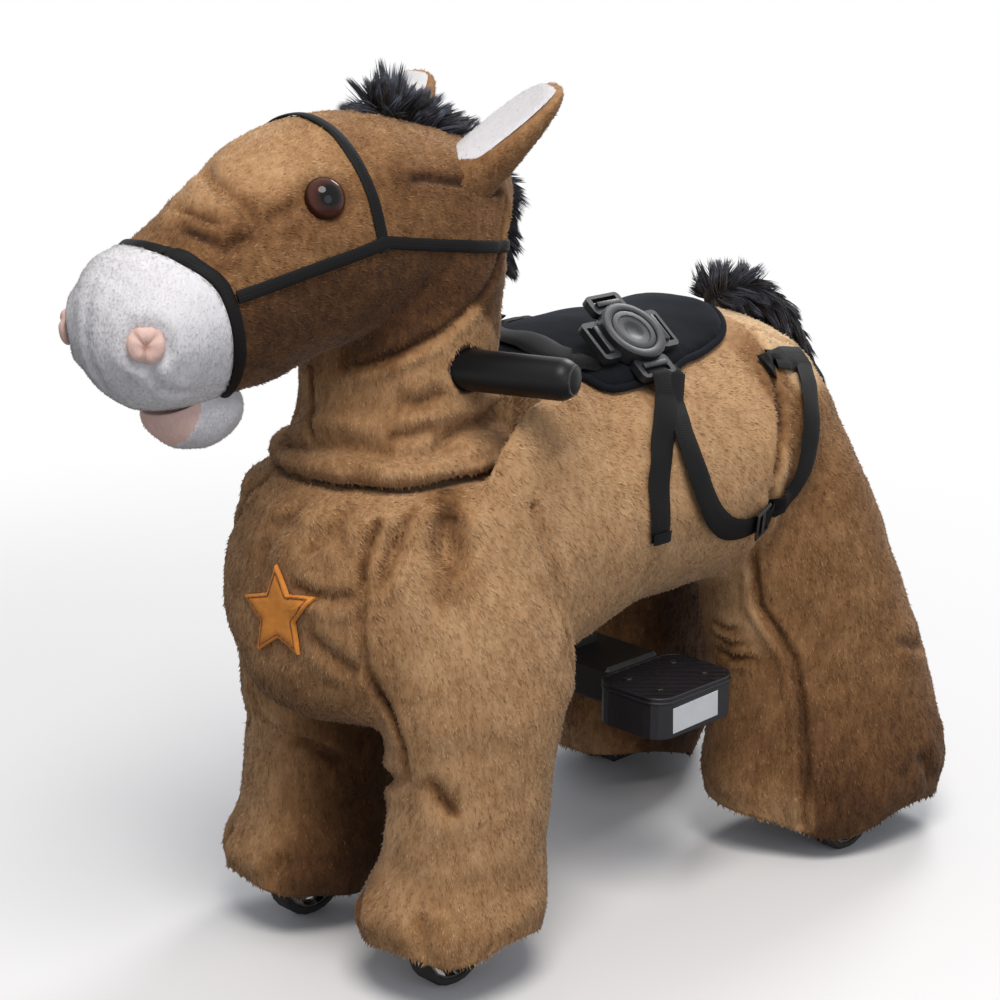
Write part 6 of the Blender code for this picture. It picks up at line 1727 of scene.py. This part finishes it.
for tag, side in (("l", 1), ("r", -1)):
    flip = Vector((side, 1, 1))
    place = Matrix.Translation(EYE_AT * flip) @ (EYE_FACING * flip).to_track_quat("Z", "Y").to_matrix().to_4x4()
    profile = [(0.0, 0.0088), (0.0032, 0.0085), (0.0064, 0.0076), (0.0095, 0.0060), (0.0120, 0.0038),
               (0.0138, 0.0010), (0.0146, -0.0018), (0.0140, -0.0040), (0.0, -0.0045)]
    bm = bmesh.new()
    turned(bm, profile, place, 48)
    eye = mesh_piece("eye_dome_" + tag, bm)
    modify(eye, "SUBSURF", levels=1, render_levels=1)
    local = np.array([tuple(place.inverted() @ v.co) for v in eye.data.vertices])
    set_values(eye, "from_middle", np.clip(np.hypot(local[:, 0], local[:, 1]) / 0.0146, 0, 1))
    eye.data.shade_smooth()
    eye.data.materials.append(resin)
    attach(eye, "steering")
    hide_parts("eye_" + tag)

# ---- bridle --------------------------------------------------------------------------------------
# A bridle of 10 mm black elastic tape sewn round the muzzle seam, up each cheek, over the brow and
# behind the neck.
EDGE_GAP = 0.0004


def round_head(centre, way, angles):
    """Spots on the head where rays in one plane, spread by angle from +X towards way, leave it."""
    spots, ups = [], []
    for angle in angles:
        ray = Vector((math.cos(angle), 0, 0)) + way * math.sin(angle)
        start = centre + ray * 0.30
        hit = head_tree.ray_cast(start, -ray)
        spots.append(hit[0] + hit[1] * (EDGE_GAP + 0.0008))
        ups.append(hit[1])
    return spots, ups


def steady(spots, ups):
    """Evens out a run of spots, so that a tape doesn't copy each wrinkle under it."""
    for _ in range(3):
        spots = [spots[0]] + [(a + b * 2 + c) / 4 for a, b, c in zip(spots, spots[1:], spots[2:])] + [spots[-1]]
        ups = [ups[0]] + [((a + b * 2 + c) / 4).normalized() for a, b, c in zip(ups, ups[1:], ups[2:])] + [ups[-1]]
    return spots, ups


TAPE = 0.0087
TAPE_T = 0.0016
bridle_pieces = []
loop_centre = (SEAM_TOP + SEAM_LOW) / 2 + seam_back * (TAPE / 2 + 0.0006)
turns = [2 * math.pi * k / 120 for k in range(120)]
spots, ups = round_head(loop_centre, seam_way, turns)
noseband = tape("noseband", spots, ups, TAPE, TAPE_T, closed=True)
put_back(noseband, slide(coordinates(noseband)))
bridle_pieces.append(noseband)
JOINT_Y, JOINT_Z = -0.190, 0.556
neck_way = Vector((0, 0.210, -0.032)).normalized()
neck_middle = Vector((0, -0.110, JOINT_Z - 0.08 * 0.032 / 0.210))
spots, ups = round_head(neck_middle, neck_way, [math.radians(a) for a in range(-49, 230, 3)])
bridle_pieces.append(tape("neck_tape", *steady(spots, ups), TAPE, TAPE_T))
brow_way = Vector((0, -0.016, 0.127)).normalized()
brow_middle = Vector((0, JOINT_Y - 0.0005, JOINT_Z - 0.004))
spots, ups = round_head(brow_middle, brow_way, [math.radians(a) for a in range(-2, 183, 3)])
bridle_pieces.append(tape("brow_tape", *steady(spots, ups), TAPE, TAPE_T))
for tag, side in (("l", 1), ("r", -1)):
    spots, ups = [], []
    for step in range(25):
        share = step / 24
        y = -0.3015 + share * (JOINT_Y + 0.3015)
        z = 0.5315 + share * (JOINT_Z - 0.5315)
        hit = head_tree.ray_cast(Vector((side * 0.30, y, z)), Vector((-side, 0, 0)))
        spots.append(hit[0] + hit[1] * (EDGE_GAP + 0.0016))
        ups.append(hit[1])
    bridle_pieces.append(tape("cheek_tape_" + tag, *steady(spots, ups), TAPE, TAPE_T))
for piece in bridle_pieces:
    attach(piece, "steering")
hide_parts("bridle")

# ---- mane ----------------------------------------------------------------------------------------
# A strip of long-pile black plush down the crest, from the forelock to behind the neck, standing in
# ragged locks.
bm = bmesh.new()
swept(bm, [(-0.134, 0.630, 0.007, 0.006), (-0.122, 0.629, 0.011, 0.008), (-0.102, 0.622, 0.013, 0.010),
           (-0.070, 0.607, 0.014, 0.012), (-0.042, 0.590, 0.014, 0.013), (-0.022, 0.564, 0.012, 0.011),
           (-0.017, 0.530, 0.010, 0.009), (-0.014, 0.508, 0.007, 0.006)])
mane = mesh_piece("mane_core", bm)
melt(mane, 0.0035, 3)
store_dye_and_shade(mane, np.full(len(mane.data.vertices), 0.15), 0.0)
mane.data.materials.append(black_pile)
mane.data.shade_smooth()


def mane_flow(points):
    """Up from the crest, and back along the neck."""
    back = step_up(points[:, 1], -0.125, -0.075)
    down = step_up(points[:, 2], 0.615, 0.560)
    return np.stack([np.zeros(len(points)), 0.10 + 0.95 * back - 0.3 * down, 1.0 - 0.75 * back - 1.2 * down], axis=1)


mane_hair = long_hair("mane_pile", mane, 9000,
                      lambda p: 0.019 + 0.008 * step_up(p[:, 1], -0.095, -0.120) + 0.004 * step_up(p[:, 2], 0.60, 0.55),
                      0.00056, lambda p: 0.34 + 0.22 * step_up(p[:, 1], -0.10, -0.13), mane_flow,
                      lambda p: 0.05 + 0.3 * step_up(p[:, 2], 0.60, 0.54), 71,
                      lambda where, facing: np.where(facing[:, 2] + facing[:, 1] > -0.3, 1.0, 0.3)
                      * (1 + 1.2 * (where[:, 1] < -0.118)), black_pile)
for piece in (mane, mane_hair):
    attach(piece, "steering")
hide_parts("mane")

# ---- handlebar grips and throttle ----------------------------------------------------------------
# Closed-cell foam sleeves pushed over the bar's ends, rounded at the tip; the right one has a small
# moulded thumb lever under it that drives the motors.
foam = new_material("closed_cell_grip_foam")
where = add_node(foam, "TexCoord")
cells = add_node(foam, "TexVoronoi", {"Scale": 1000 / 1.1}, {"Vector": where.outputs["Object"]})
patch = add_node(foam, "TexNoise", {"Scale": 1000 / 16, "Detail": 4.0}, {"Vector": where.outputs["Object"]})
tint = add_node(foam, "MixRGB", {"Color1": linear("#060608"), "Color2": linear("#0E0E12")},
                {"Fac": patch.outputs["Fac"]})
bump = add_node(foam, "Bump", {"Strength": 0.12, "Distance": 0.0002}, {"Height": cells.outputs["Distance"]})
shader = add_node(foam, "BsdfPrincipled", {"Roughness": 0.40, "Specular IOR Level": 0.25},
                  {"Base Color": tint.outputs["Color"], "Normal": bump.outputs["Normal"]})
add_node(foam, "OutputMaterial", None, {"Surface": shader.outputs[0]})
for tag, side in (("l", 1), ("r", -1)):
    way = Vector((side * math.cos(GRIP_SWEEP), math.sin(GRIP_SWEEP), 0))
    start = Vector((side * 0.0601, -0.1157, 0.457))
    place = Matrix.Translation(start) @ way.to_track_quat("Z", "Y").to_matrix().to_4x4()
    profile = [(0.0, 0.0004), (0.0138, 0.0004), (0.0146, 0.0012), (0.0149, 0.0030), (0.0149, 0.0825)]
    profile += [(0.0149 * math.cos(turn), 0.0825 + 0.0135 * math.sin(turn))
                for turn in (math.pi / 2 * k / 9 for k in range(1, 9))]
    profile += [(0.0, 0.0960)]
    bm = bmesh.new()
    turned(bm, profile, place, 64)
    grip = mesh_piece("foam_grip_" + tag, bm)
    grip.data.shade_smooth()
    grip.data.set_sharp_from_angle(angle=math.radians(50))
    grip.data.materials.append(foam)
    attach(grip, "steering")
    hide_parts("grip_" + tag)
finish_node("throttle_lever", nylon)
